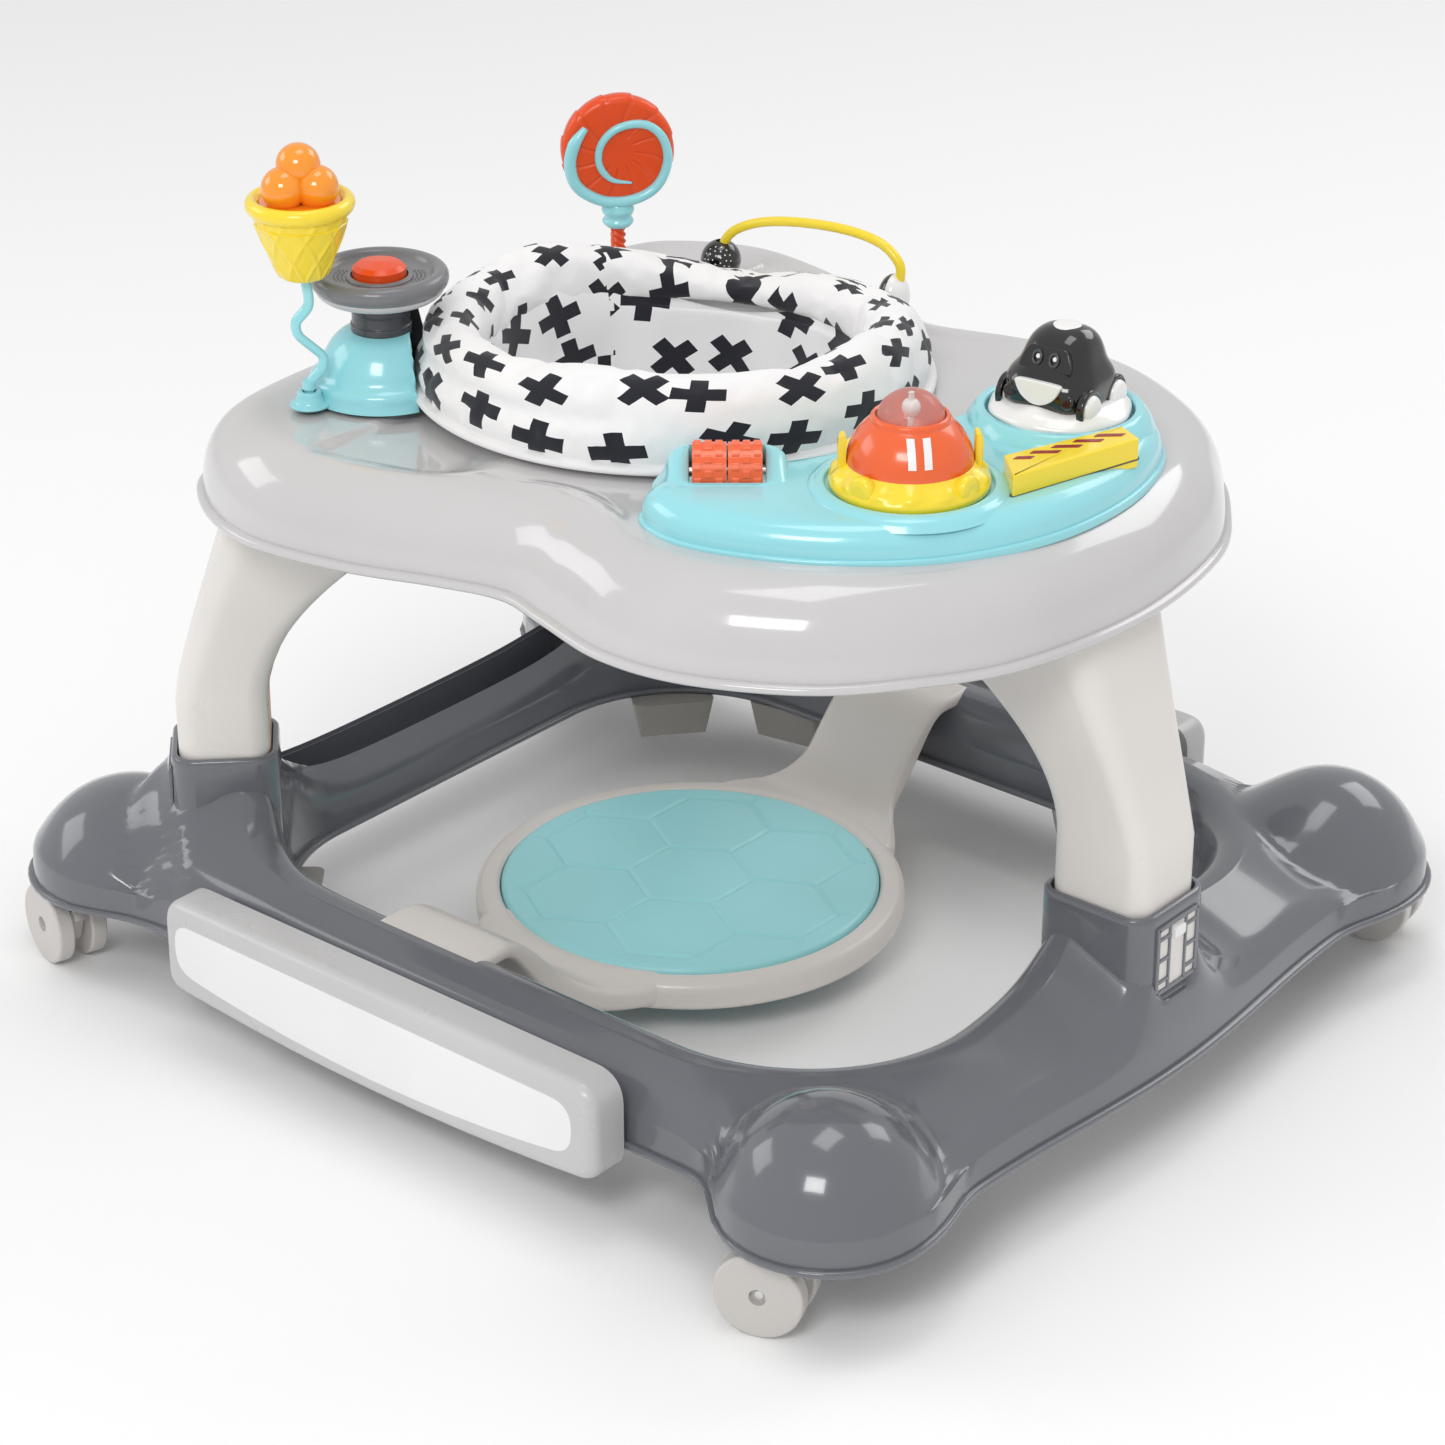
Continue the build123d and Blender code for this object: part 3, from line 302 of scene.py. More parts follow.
def rounded(points, radius, closed=False, steps=5):
    """Corners of a polygon eased with short curves; radius is one value or one for each corner."""
    pts = [np.array(p, float) for p in points]
    n = len(pts)
    radii = radius if isinstance(radius, (list, tuple)) else [radius] * n
    out = []
    for i, p in enumerate(pts):
        if not closed and i in (0, n - 1):
            out.append(p)
            continue
        a, b = pts[i - 1] - p, pts[(i + 1) % n] - p
        la, lb = np.linalg.norm(a), np.linalg.norm(b)
        r = min(radii[i], 0.48 * la, 0.48 * lb)
        if r < 1e-6:
            out.append(p)
            continue
        s, e = p + a / la * r, p + b / lb * r
        for t in np.linspace(0, 1, steps + 1):
            out.append((1 - t) ** 2 * s + 2 * t * (1 - t) * p + t * t * e)
    return out


def lathe(name, profile, slot, body, at=(0, 0, 0), n=96, mat=None, place=None, wave=None, nodes=()):
    """Turns a (radius, height) profile about a vertical axis at a point; place maps it elsewhere."""
    rows = []
    for r, z in profile:
        row = []
        for a in turns(n):
            rr, zz = (r, z) if wave is None else wave(r, z, a)
            p = Vector((rr * cos(a), rr * sin(a), zz))
            p = place @ p if place is not None else p + Vector(at)
            row.append(tuple(p))
        rows.append(row)
    return mesh(name, *skin(rows), slot, body, mat, angle=50, nodes=nodes)


def tube(name, points, radius, slot, body, n=20, mat=None, flat=1.0, twist=0.0, sides=None, nodes=()):
    """A bar along points; flat squeezes it sideways, twist turns a sided section along it."""
    pts = np.array(points, float)
    m = len(pts)
    tang = np.gradient(pts, axis=0)
    tang /= np.linalg.norm(tang, axis=1)[:, None]
    up = np.array([0.0, 0.0, 1.0]) if abs(tang[0][2]) < 0.9 else np.array([1.0, 0.0, 0.0])
    rows = []
    side = np.cross(tang[0], up)
    side /= np.linalg.norm(side)
    for i in range(m):
        side = side - tang[i] * side.dot(tang[i])
        side /= np.linalg.norm(side)
        other = np.cross(tang[i], side)
        r = radius[i] if hasattr(radius, "__len__") else radius
        row = []
        for a in turns(n):
            k = 1.0
            if sides:
                k = 1 + 0.16 * cos(sides * (a + twist * i / m))
            row.append(pts[i] + r * k * (side * cos(a) + other * flat * sin(a)))
        rows.append(row)
    return mesh(name, *skin(rows, caps=True), slot, body, mat, angle=50, nodes=nodes)


def inset(outline, amount):
    """A closed 2-D outline moved in along its own normals."""
    pts = np.array(outline, float)
    tang = np.roll(pts, -1, axis=0) - np.roll(pts, 1, axis=0)
    tang /= np.maximum(np.linalg.norm(tang, axis=1), 1e-9)[:, None]
    area = 0.5 * np.sum(pts[:, 0] * np.roll(pts[:, 1], -1) - np.roll(pts[:, 0], -1) * pts[:, 1])
    sign = 1 if area > 0 else -1
    normal = np.stack([-tang[:, 1], tang[:, 0]], axis=1) * sign
    return pts + normal * amount


def slab(name, outline, low, high, edge, slot, body, mat=None, place=None, nodes=()):
    """A plate on an outline with a rounded upper edge."""
    rows = [[(x, y, low) for x, y in inset(outline, 0.0)]]
    steps = 7
    for k in range(steps + 1):
        a = pi / 2 * k / steps
        line = inset(outline, edge * (1 - cos(a)))
        rows.append([(x, y, high - edge + edge * sin(a)) for x, y in line])
    last = np.array(rows[-1])
    mid = np.mean(last, axis=0)
    for s in (0.7, 0.4, 0.12):
        rows.append([tuple(mid + (p - mid) * s) for p in last])
    if place is not None:
        rows = [[tuple(place @ Vector(p)) for p in row] for row in rows]
    return mesh(name, *skin(rows, caps=True), slot, body, mat, angle=40, nodes=nodes)


def box_outline(lx, ly, r, n=8, cx=0.0):
    """A rounded rectangle, counter-clockwise from its right-hand corner."""
    out = []
    for qx, qy, a0 in ((1, 1, 0), (-1, 1, 90), (-1, -1, 180), (1, -1, 270)):
        for k in range(n + 1):
            a = radians(a0 + 90 * k / n)
            out.append((cx + qx * (lx / 2 - r) + r * cos(a), qy * (ly / 2 - r) + r * sin(a)))
    return out


def turns(n):
    """n angles evenly round a circle."""
    return [2 * pi * j / n for j in range(n)]


def placed(place, ring, z):
    """A flat ring of points at a height, moved by a matrix."""
    return [tuple(place @ Vector((px, py, z))) for px, py in ring]


def move(x, y, z, turn=0, axis="Z"):
    """A shift, then a turn in degrees about one axis."""
    return Matrix.Translation((x, y, z)) @ Matrix.Rotation(radians(turn), 4, axis)


def frame_at(x, y, z, heading=0.0, tilt=0.0):
    """A place with a heading about the vertical, then a tilt about its own Y axis."""
    return move(x, y, z, heading) @ Matrix.Rotation(radians(tilt), 4, "Y")


def ease(x, a, b):
    t = min(1.0, max(0.0, (x - a) / (b - a)))
    return t * t * (3 - 2 * t)


def edge_rise(d, r, n=2.0):
    """0 at an edge, 1 from distance r on, upright at the edge itself."""
    t = min(1.0, max(0.0, d / r))
    return (1 - (1 - t) ** n) ** (1 / n)


def soft_max(a, b, k):
    h = max(k - abs(a - b), 0.0) / k
    return max(a, b) + h * h * k * 0.25


def box_distance(x, y, cx, cy, hx, hy, r):
    """Signed distance to a rounded rectangle."""
    qx, qy = abs(x - cx) - hx + r, abs(y - cy) - hy + r
    return hypot(max(qx, 0), max(qy, 0)) + min(max(qx, qy), 0) - r


# ---- base ---------------------------------------------------------------------------
LIP_Z, LIP_TOP = 53.0, 57.0
CREST, DOME_RADIUS = 102.0, 62.0
DOMES = [(290, -252, 122), (290, 252, 122), (-290, -228, 114), (-290, 228, 114)]
SOCKETS = {"front": (310, 0, 180), "rear_right": (-226, -202, 45), "rear_left": (-226, 202, -45)}
HOLE = (19.0, 0.0, 245.0, 214.0, 102.0)


def outer_distance(x, y):
    bow = 6.0 * cos(pi * min(abs(y), 190) / 190) if x > 0 else 0.0
    return box_distance(x - bow * ease(x, 150, 260), y, 32, 0, 314, 272, 60)


def outline_field(x, y):
    d = outer_distance(x, y)
    for cx, cy, _ in DOMES:
        e = hypot(x - cx, y - cy) - DOME_RADIUS
        d = -soft_max(-d, -e, 26)
    return d


def base_height(x, y):
    d_out, d_in = -outer_distance(x, y), box_distance(x, y, *HOLE)
    crest = CREST - 0.42 * max(0.0, d_in - 30)
    z = LIP_TOP + (crest - LIP_TOP) * edge_rise(d_out, 16, 2.2) * edge_rise(d_in, 24, 2.2)
    for cx, cy, top in DOMES:
        r = hypot(x - cx, y - cy)
        dome = LIP_TOP + (top - LIP_TOP) * edge_rise(DOME_RADIUS - r, DOME_RADIUS, 2.0)
        z = soft_max(z, dome, 16 if cy < 0 < cx else 30)
    wall = edge_rise(d_out, 10, 2) * edge_rise(d_in, 10, 2)
    for sx, sy, turn in SOCKETS.values():
        a = radians(turn)
        dx, dy = x - sx, y - sy
        u, v = dx * cos(a) + dy * sin(a), -dx * sin(a) + dy * cos(a)
        q = max(0.0, box_distance(u, v, 0, 0, 33, 32, 12))
        z += 34 * exp(-q / (15 if u < -30 else 25)) * wall
        if sx > 0:
            # Kept below the window, where the height button passes.
            notch = (1 - ease(abs(v), 13, 22)) * (1 - ease(u, -34, -28)) * ease(u, -60, -50)
            z -= max(0.0, z - 99) * notch
    if x < -200 and abs(y) < 168:
        side = box_distance(x, y, -253, 0, 16, 150, 9)
        z -= (z - 66) * (1 - ease(side, -1.5, 0.8))
    return z


def hole_stations(per):
    """Points round the opening with their outward directions: a side, then a corner, four times."""
    cx, _, hx, hy, r = HOLE
    stations = []
    for nx, ny, half, turn in ((0, 1, hx - r, 90), (1, 0, hy - r, 0), (0, -1, hx - r, -90),
            (-1, 0, hy - r, 180)):
        for k in range(per):
            s = -half + 2 * half * (k + 0.5) / per
            at = (cx + s * ny, ny * hy) if ny else (cx + nx * hx, -s * nx)
            stations.append((at, (nx, ny)))
        sx, sy = nx + ny, ny - nx
        for k in range(per + 1):
            a = radians(turn - 90 * k / per)
            n = (cos(a), sin(a))
            stations.append(((cx + sx * (hx - r) + r * n[0], sy * (hy - r) + r * n[1]), n))
    return stations


def base_ring():
    stations = hole_stations(46)
    rows = []
    count = 64
    for (px, py), (nx, ny) in stations:
        high = 40.0
        while outline_field(px + nx * high, py + ny * high) < 0 and high < 260:
            high += 4
        low = high - 4
        for _ in range(18):
            mid = (low + high) / 2
            if outline_field(px + nx * mid, py + ny * mid) < 0:
                low = mid
            else:
                high = mid
        width = low
        row = []
        at = lambda s, z: (px + nx * s, py + ny * s, z)
        for s, z in ((-1.2, LIP_Z + 1.0), (-4, LIP_Z), (-5, LIP_Z + 1), (-5, LIP_TOP - 1), (-4, LIP_TOP),
                (-0.8, LIP_TOP)):
            row.append(at(s, z))
        for k in range(count + 1):
            t = k / count
            t = 0.5 - 0.5 * cos(pi * t) * (0.35 + 0.65 * abs(cos(pi * t)) ** 0.5)
            s = width * min(1.0, max(0.0, 0.55 * t + 0.45 * k / count))
            z = base_height(px + nx * s, py + ny * s)
            row.append(at(s, max(z, LIP_TOP)))
        w = width
        for s, z in ((w + 0.8, LIP_TOP), (w + 3.4, LIP_TOP), (w + 4.4, LIP_TOP - 1),
                (w + 4.4, LIP_Z + 1), (w + 3.4, LIP_Z), (w + 1.2, LIP_Z + 1)):
            row.append(at(s, z))
        rows.append(row)
    ob = mesh("base_ring", *skin(rows, loop=False, ring=True), "base_grey", None, angle=55)
    wall(ob, 0.003)
    finish(ob, "base_grey", "base", "base_shell")


def leg_sockets():
    for name, (x, y, turn) in SOCKETS.items():
        place = frame_at(x, y, 0, turn)
        more = 10 if name == "front" else 0
        rows = []
        for z, grow in ((60, 5.0), (100, 5.0), (126, 5.2), (140, 5.0), (152, 5.0), (155, 4.6),
                (156, 3.4), (156, 1.2), (154, 0.6), (140, 0.5), (110, 0.5)):
            ring = box_outline(56 + more + 2 * grow, 54 + 0.6 * more + 2 * grow, 10 + grow, cx=more / 2)
            rows.append(placed(place, ring, z))
        mesh(f"socket_{name}", *skin(rows), "base_grey", "base", angle=60)
        # Window in the outer wall: white behind dark bars.
        face = frame_at(x, y, 0, turn) @ move(-33.2, 0, 126, -90, "Y")
        slab(f"window_{name}", box_outline(42, 38, 3), -0.4, 0.5, 0.3, "leg_white", "base", place=face)
        for k, (bx, by, lx, ly) in enumerate(((0, 13.5, 2.4, 11), (14, 13.5, 2.4, 11),
                (-14, 13.5, 2.4, 11), (21, 0, 3, 40), (-21, 0, 3, 40), (0, 8, 42, 2.2), (0, -8, 42, 2.2),
                (0, 19.4, 44, 3), (0, -19.4, 44, 3), (0, -13.5, 2.4, 11), (14, -13.5, 2.4, 11),
                (-14, -13.5, 2.4, 11),)):
            slab(f"window_bar_{name}_{k}", box_outline(lx, ly, 0.8, 3), -0.2, 1.5, 0.5, "base_grey",
                "base", place=face @ move(bx, by, 0))


def rocker_bars():
    """Bowed bars with soft edges, each with a white inlay that follows the bow."""
    half, thick = 173.0, 26.0
    bow = [(u, 33 + 9 * (u / half) ** 2) for u in np.linspace(-half, half, 11)]
    bar = rounded([(half, 103), (-half, 103)] + bow, [20, 16, 14] + [0] * 9 + [14], True, 8)
    belly = [(u, 44 + 13 * (u / 160) ** 2) for u in np.linspace(-162, 157, 11)]
    inlay = rounded([(157, 89), (-162, 90)] + belly, [17, 13, 15] + [0] * 9 + [15], True, 8)
    for side, name in ((-1, "right"), (1, "left")):
        place = move(-7, side * 278, 0, 90 + 90 * side) @ Matrix.Rotation(radians(90), 4, "X")
        slab(f"rocker_{name}_body", bar, 0, thick, 8, "panel_grey", f"rocker_{name}", place=place,
            nodes=[f"rocker_bar_{name}"])
        slab(f"rocker_{name}_inlay", inlay, thick - 1, thick + 0.35, 0.5, "inlay_white",
            f"rocker_{name}", place=place, nodes=[f"rocker_inlay_{name}"])


# ---- legs ---------------------------------------------------------------------------
def leg_inner(name, z):
    """How far the inner face stands from the leg's foot: it flares under the tray."""
    foot = 38 if name == "front" else 28
    return foot + min(149 - foot if name == "front" else 84, 83 * (max(0.0, z - 188) / 110) ** 2)


def legs():
    for name, (x, y, turn) in SOCKETS.items():
        place = frame_at(x, y, 0, turn)
        rows = []
        levels = list(np.linspace(90, 190, 8)) + list(np.linspace(196, 358, 26))
        for z in levels:
            t = max(0.0, (z - 190) / 170.0)
            outer = -28 + 46 * ease(t, -0.25, 1.05) - 46 * ease(0, -0.25, 1.05) * (1 - t)
            inner = leg_inner(name, z)
            wide = (60 if name == "front" else 54) + 30 * ease(t, 0.0, 0.9)
            ring = box_outline(inner - outer, wide, 13 + 6 * t, cx=(inner + outer) / 2)
            rows.append(placed(place, ring, z))
        mesh(f"leg_{name}_body", *skin(rows, caps=True), "leg_white", "tray", angle=50,
            nodes=[f"leg_{name}"])
        # Open channel on the inner side, filled with a tan strip of painted shade that stands for the
        # shaded hollow inside the leg.
        rows = []
        for z in np.linspace(150, 268, 12):
            t = max(0.0, (z - 190) / 170.0)
            inner = leg_inner(name, z)
            half = 15 * sqrt(max(0.0, 1 - max(0.0, (z - 250) / 19) ** 2)) + 0.2
            rows.append([tuple(place @ Vector((inner + dx, s * half, z))) for dx,
                s in ((-2, -1), (0.35, -1), (0.35, 1), (-2, 1))])
        mesh(f"leg_{name}_channel_shade", *skin(rows, caps=True), "leg_white", "tray", mat=CHANNEL_SHADE, angle=40)


# ---- tray ---------------------------------------------------------------------------
TRAY_HALF = [
    (-247, 0), (-249, -90), (-240, -180), (-208, -222), (-150, -246), (-80, -238), (-22, -218),
    (20, -208), (60, -218), (112, -231), (165, -225), (224, -194), (262, -152), (294, -94), (308, 0),
]
SEAT = (-34.0, 0.0)
BAND_OUT = 156.0
TRAY_LOW, TRAY_HIGH = 325.0, 380.0


def tray_outline(count):
    pts = TRAY_HALF + [(x, -y) for x, y in TRAY_HALF[-2:0:-1]]
    return smooth_path(pts, count)


def tray():
    count = 420
    out = tray_outline(count)
    tang = np.roll(out, -1, axis=0) - np.roll(out, 1, axis=0)
    tang /= np.linalg.norm(tang, axis=1)[:, None]
    normal = np.stack([-tang[:, 1], tang[:, 0]], axis=1)
    rows = []
    for dz, grow in ((1.5, 0.5), (0, 2.5), (0, 3.4), (1, 4.2), (3, 4.2), (4.2, 3.2), (5, 0.8)):
        rows.append([(*(p - n * grow), TRAY_LOW + dz) for p, n in zip(out, normal)])
    inner_r = 141.0
    steps = 74
    for k in range(steps + 1):
        s = (k / steps) ** 1.7
        row = []
        for p, n in zip(out, normal):
            ray = np.array([SEAT[0] - p[0], SEAT[1] - p[1]])
            dist = np.linalg.norm(ray)
            goal = p + ray / dist * (dist - inner_r)
            # Leaves the edge squarely, then turns towards the seat.
            total = dist - inner_r
            d = s * total
            near = p + n * d
            far = p + (goal - p) * s
            w = ease(d, 8, 70)
            q = near * (1 - w) + far * w
            deep = d * abs(float(np.dot(ray / dist, n))) ** (0.4 * w)
            z = TRAY_LOW + 5 + (TRAY_HIGH - TRAY_LOW - 5) * edge_rise(deep, 46, 2.3)
            z += relief(q[0], q[1], deep)
            row.append((q[0], q[1], z))
        rows.append(row)
    rows.append([(p[0], p[1], TRAY_HIGH - 26) for p in rows[-1]])
    ob = mesh("tray_top", *skin(rows), "tray_grey", None, angle=55)
    wall(ob, 0.003)
    finish(ob, "tray_grey", "tray", "tray_shell")


def relief(x, y, deep):
    """Low steps and swells moulded in the crown, kept away from the rim."""
    z = 0.0
    fade = ease(deep, 26, 50)
    # Raised table at the back corners, where the stem toys stand.
    for sy in (-1, 1):
        d = box_distance(x, y * sy, -196, -152, 66, 92, 40)
        z += -3.4 * ease(d, -2.0, 4.0) * (1 if x < -60 else ease(-x, 20, 60))
    # A curled swell beside the seat.
    d = abs(hypot(x - 38, abs(y) - 232) - 62) - 7
    z += 2.6 * (1 - ease(d, -4, 6)) * ease(x, -20, 10) * (1 - ease(x, 70, 100))
    return z * fade


# ---- console -------------------------------------------------------------------------
CONSOLE = [
    (84, -156), (98, -176), (138, -180), (199, -154), (248, -108), (276, -44), (279, 24), (262, 82),
    (232, 112), (196, 118), (164, 96), (152, 40), (143, -20), (126, -70), (98, -118),
]
CONSOLE_Z = 400.0
ROLLER, DOME, CAR = (112.0, -124.0), (200.0, -73.0), (206.0, 60.0)
KEY = [(232, -30), (254, -51), (276, 38), (258, 47)]


def console():
    line = smooth_path(CONSOLE, 260)
    slab("console_body", line, 378, CONSOLE_Z, 14, "cyan", "tray", nodes=["console_shell"])
    slab("console_seam", inset(line, -2.4), 377.5, 382.5, 1.6, "cyan", "tray")
    place = frame_at(*ROLLER, 0, 40)
    # Hump with an open well: outer skin, rolled rim, inner wall. The side towards the tray's rim is lower.
    def lowered(py, z):
        return z - 0.5 * max(0.0, z - 392) * ease(-py, -12, 20)

    rows = []
    for z, grow in ((388, 9), (393, 5), (398, 2.2), (403, 0.6), (406.5, -1.0), (408.6, -3.5),
            (409.2, -6)):
        ring = box_outline(66 + 2 * grow, 46 + 2 * grow, max(4, 13 + grow), n=8)
        rows.append([tuple(place @ Vector((px, py, lowered(py, z)))) for px, py in ring])
    for z, lx, ly, r in ((409.2, 44, 37.6, 5), (408, 42.6, 36.6, 4.5), (396, 42.4, 36.4, 4.5)):
        ring = box_outline(lx, ly, r, n=8)
        rows.append([tuple(place @ Vector((px, py, lowered(py, z)))) for px, py in ring])
    mesh("console_hump", *skin(rows), "cyan", "tray", angle=60)
    # Painted shade: a dark plate laid at the bottom of the well, standing for the shade inside it.
    slab("console_well_shade", box_outline(43, 37, 3), 398.6, 399.6, 0.2, "neck_dark", "tray", place=place)
    for (x, y), r, high, name in ((DOME, 46.0, 3.0, "dome"), (CAR, 42.0, 8.0, "car")):
        profile = rounded([(r + 13, CONSOLE_Z - 4), (r + 10, CONSOLE_Z + high * 0.35),
            (r + 5.4, CONSOLE_Z + high), (r + 1.6, CONSOLE_Z + high), (r + 0.7, CONSOLE_Z + high - 1.5),
            (r + 0.7, CONSOLE_Z - 2)], [0, 5, 3.4, 1.2, 1, 0])
        lathe(f"console_rim_{name}", profile, "cyan", "tray", at=(x, y, 0), n=120)
    slab("key_body", rounded(KEY, 1.5, True), 395.6, 412.6, 1.3, "yellow", "key", nodes=["piano_key"])
    start, end = np.array((240.0, -37.0)), np.array((265.0, 44.5))
    for k in range(5):
        c = start + (end - start) * (0.13 + 0.175 * k)
        lx = 13.0 if k == 0 else 19.0
        bar = [(-lx / 2, -2.0), (lx / 2 - 3, -2.0), (lx / 2, 1.9), (-lx / 2 + 3, 1.9)]
        here = frame_at(c[0], c[1], 0, 43)
        slab(f"key_strip_{k}", rounded(bar, 0.7, True, 3), 411.6, 412.95, 0.3, "dark_red", "key",
            place=here, nodes=["piano_key_strips"] if k == 0 else ())
    # Painted shade: a dark line laid round the key, standing for the shade in the recess about it.
    c = np.mean(np.array(KEY, float), axis=0)
    dark = [tuple(c + (np.array(p) - c) * 1.035) for p in KEY]
    slab("console_key_gap_shade", rounded(dark, 3, True), 399.6, 400.35, 0.2, "neck_dark", "tray")


# ---- toys -------------------------------------------------------------------------------
def dome_toy():
    x, y = DOME
    low = CONSOLE_Z + 0.4

    def cloud(r, z, a):
        k = 1 + 0.03 * cos(14 * a) * ease(z, low + 5, low + 8) * (1 - ease(z, low + 11, low + 15))
        return r * k, z

    lathe("dome_skirt_body", rounded([(0, low), (44.4, low), (45.4, low + 3.5), (42.5, low + 9),
        (38.5, low + 12), (34, low + 16), (30, low + 16)], [0, 1.5, 3, 4, 3, 2, 0]), "yellow",
        "dome_toy", at=(x, y, 0), n=140, wave=cloud, nodes=["dome_skirt"])
    for k in range(4):
        a = radians(-47 + 90 * k + 45)
        place = frame_at(x + 40.5 * cos(a), y + 40.5 * sin(a), low + 8.5, degrees(a), 90)
        lathe(f"dome_wheel_{k}", rounded([(0, -4), (7.6, -4), (8.4, 0), (7.4, 3), (4, 3.6), (0, 3.2)],
            1.2), "yellow", "dome_toy", place=place, n=32)
    prof = [(35.5 * cos(t), low + 13 + 33 * sin(t)) for t in np.linspace(0, radians(54), 22)]
    prof = [(35.5, low + 9)] + prof + [(20.0, low + 40)]
    lathe("dome_shell_body", prof, "orange", "dome_toy", at=(x, y, 0), n=120, nodes=["dome_shell"])
    prof = [(19.2 * cos(t), low + 38.5 + 17.2 * sin(t)) for t in np.linspace(0, pi / 2, 16)]
    lathe("dome_window_body", [(19.4, low + 37)] + prof, "clear", "dome_toy", at=(x, y, 0), n=80,
        nodes=["dome_window"])
    lathe("dome_window_ring", rounded([(19.5, low + 38), (22.6, low + 38), (22.2, low + 41),
        (20.6, low + 42.4), (19.5, low + 41.6)], 0.8), "orange", "dome_toy", at=(x, y, 0), n=80)
    lathe("dome_floor", [(0, low + 31), (17, low + 31), (19.4, low + 40)], "orange", "dome_toy",
        at=(x, y, 0), n=48)
    for k in (-1, 1):
        a = radians(-47 + 90 * k)
        fin = [(0, -4), (3.4, -3.4), (3.6, 15), (2.0, 19), (-1, 19), (-1, -4)]
        here = frame_at(x + 36.5 * cos(a), y + 36.5 * sin(a), low + 12, degrees(a))
        here = here @ Matrix.Rotation(radians(90), 4, "X")
        slab(f"dome_fin_{k + 1}", rounded(fin, 1.4, True), -4, 4, 1.2, "yellow", "dome_toy", place=here)
    # Two white stripes on the side that faces the right rear corner of the tray.
    for k in (-1, 1):
        rows = []
        for t in np.linspace(radians(16), radians(46), 12):
            row = []
            for w in np.linspace(-1, 1, 5):
                a = radians(-43) + (k * 0.125 + w * 0.062) / cos(t)
                rr, zz = 35.9 * cos(t), low + 13 + 33.4 * sin(t)
                row.append((x + rr * cos(a), y + rr * sin(a), zz))
            rows.append(row)
        mesh(f"dome_stripe_{k + 1}", *skin(rows, loop=False), "white", "dome_toy")


def car_toy():
    x, y = CAR
    low = CONSOLE_Z + 4.5
    place = frame_at(x, y, low, -84)

    def wavy(r, z, a):
        return r * (1 + 0.012 * cos(8 * a)), z + 1.2 * cos(6 * a) * ease(r, 20, 38) * ease(z, 3, 8)

    lathe("car_skirt_body", rounded([(0, 0), (40, 0), (41.4, 2), (40.5, 4.5), (36, 8.5), (26, 12),
        (0, 12)], [0, 1, 1.5, 2, 4, 6, 0]), "white", "car_toy", place=place, n=120, wave=wavy,
        nodes=["car_skirt"])

    rows = []
    for z, back, front, ly, r in ((8, -25, 27, 54, 13), (11, -26, 28, 56, 15), (16, -27, 28.6, 57, 17),
            (22, -27, 27.6, 57, 18), (26, -26, 25.4, 55, 18), (29, -25, 22.6, 51, 18),
            (32, -24.4, 20.4, 46, 17), (37, -23.4, 18, 43, 16), (42, -21.6, 15, 40, 15),
            (46, -19, 11.4, 35, 13), (49, -15, 6.6, 28, 10), (50.8, -9, 1.4, 18, 5),
            (51.2, -5.5, -2.5, 6, 1.4),):
        ring = box_outline(front - back, ly, min(r, (front - back) / 2 - 0.1), n=8, cx=(front + back) / 2)
        rows.append(placed(place, ring, z))
    body = mesh("car_body_shell", *skin(rows, caps=True), "black", None, angle=85)
    subdivide(body)
    finish(body, "black", "car_toy", "car_body")
    # Wide smile on the nose, embossed eyes in the windscreen.
    smile = smooth_path([(-6.5, -13.5), (-7, 0), (-6.5, 13.5), (-3, 14), (2.5, 10.5), (6, 5), (7, 0),
        (6, -5), (2.5, -10.5), (-3, -14)], 80)
    slab("car_smile", smile, -3, 1.1, 1.0, "white", "car_toy", place=place @ move(27.6, 0, 19.5, 86, "Y"))
    screen = smooth_path([(-6.5, -12), (-7, 0), (-6.5, 12), (4, 16.5), (6, 14), (6.4, 0), (6, -14),
        (4, -16.5)], 80)
    slab("car_screen", screen, -3, 0.7, 0.7, "black", "car_toy",
        place=place @ move(18.0, 0, 36.5, 70, "Y"))
    for s in (-1, 1):
        eye = place @ move(18.7, s * 5.4, 37.2, 70, "Y")
        lathe(f"car_eye_{s + 1}", rounded([(2.3, 0), (4.0, 0), (4.0, 0.9), (3.1, 1.4), (2.3, 0.9)], 0.4),
            "neck_dark", "car_toy", place=eye @ Matrix.Diagonal((1.15, 0.85, 1, 1)), n=36)
        lathe(f"car_pupil_{s + 1}", [(0, 1.2), (1.2, 1.0), (1.5, 0.4)], "white", "car_toy",
            place=eye @ move(-0.8, 0.6, 0), n=20)
        lathe(f"car_lamp_{s + 1}", rounded([(0, 1.2), (3.6, 1.0), (4.4, -0.6), (4.4, -3)],
            [0, 1.4, 0.6, 0]), "black", "car_toy", place=place @ move(26.2, s * 18.5, 17, 74, "Y"), n=32)
        for u in (-15, 15):
            spot = place @ move(u, s * 28.5, 11.5, -90 * s, "X")
            lathe(f"car_arch_{s + 1}_{u + 20}", rounded([(8.6, -4), (11.4, -4), (11.2, -0.4), (9.6, 0.4),
                (8.6, -0.6)], 0.8), "black", "car_toy", place=spot, n=48)
            lathe(f"car_wheel_{s + 1}_{u + 20}", rounded([(0, -5), (8.2, -5), (8.4, 0.4), (7.0, 2.6),
                (4.0, 3.4), (0, 3.6)], 1.6), "white", "car_toy", place=spot, n=40)
    lathe("car_roof_plate", rounded([(0, -1), (8.4, -1.4), (8.4, 0.2), (7.4, 0.9), (0, 1.1)], 0.5),
        "white", "car_toy", place=place @ move(-5, 0, 50.3), n=48)


WHEEL_TOY = (-160.0, -118.0)
NECK_TOP = 437.0


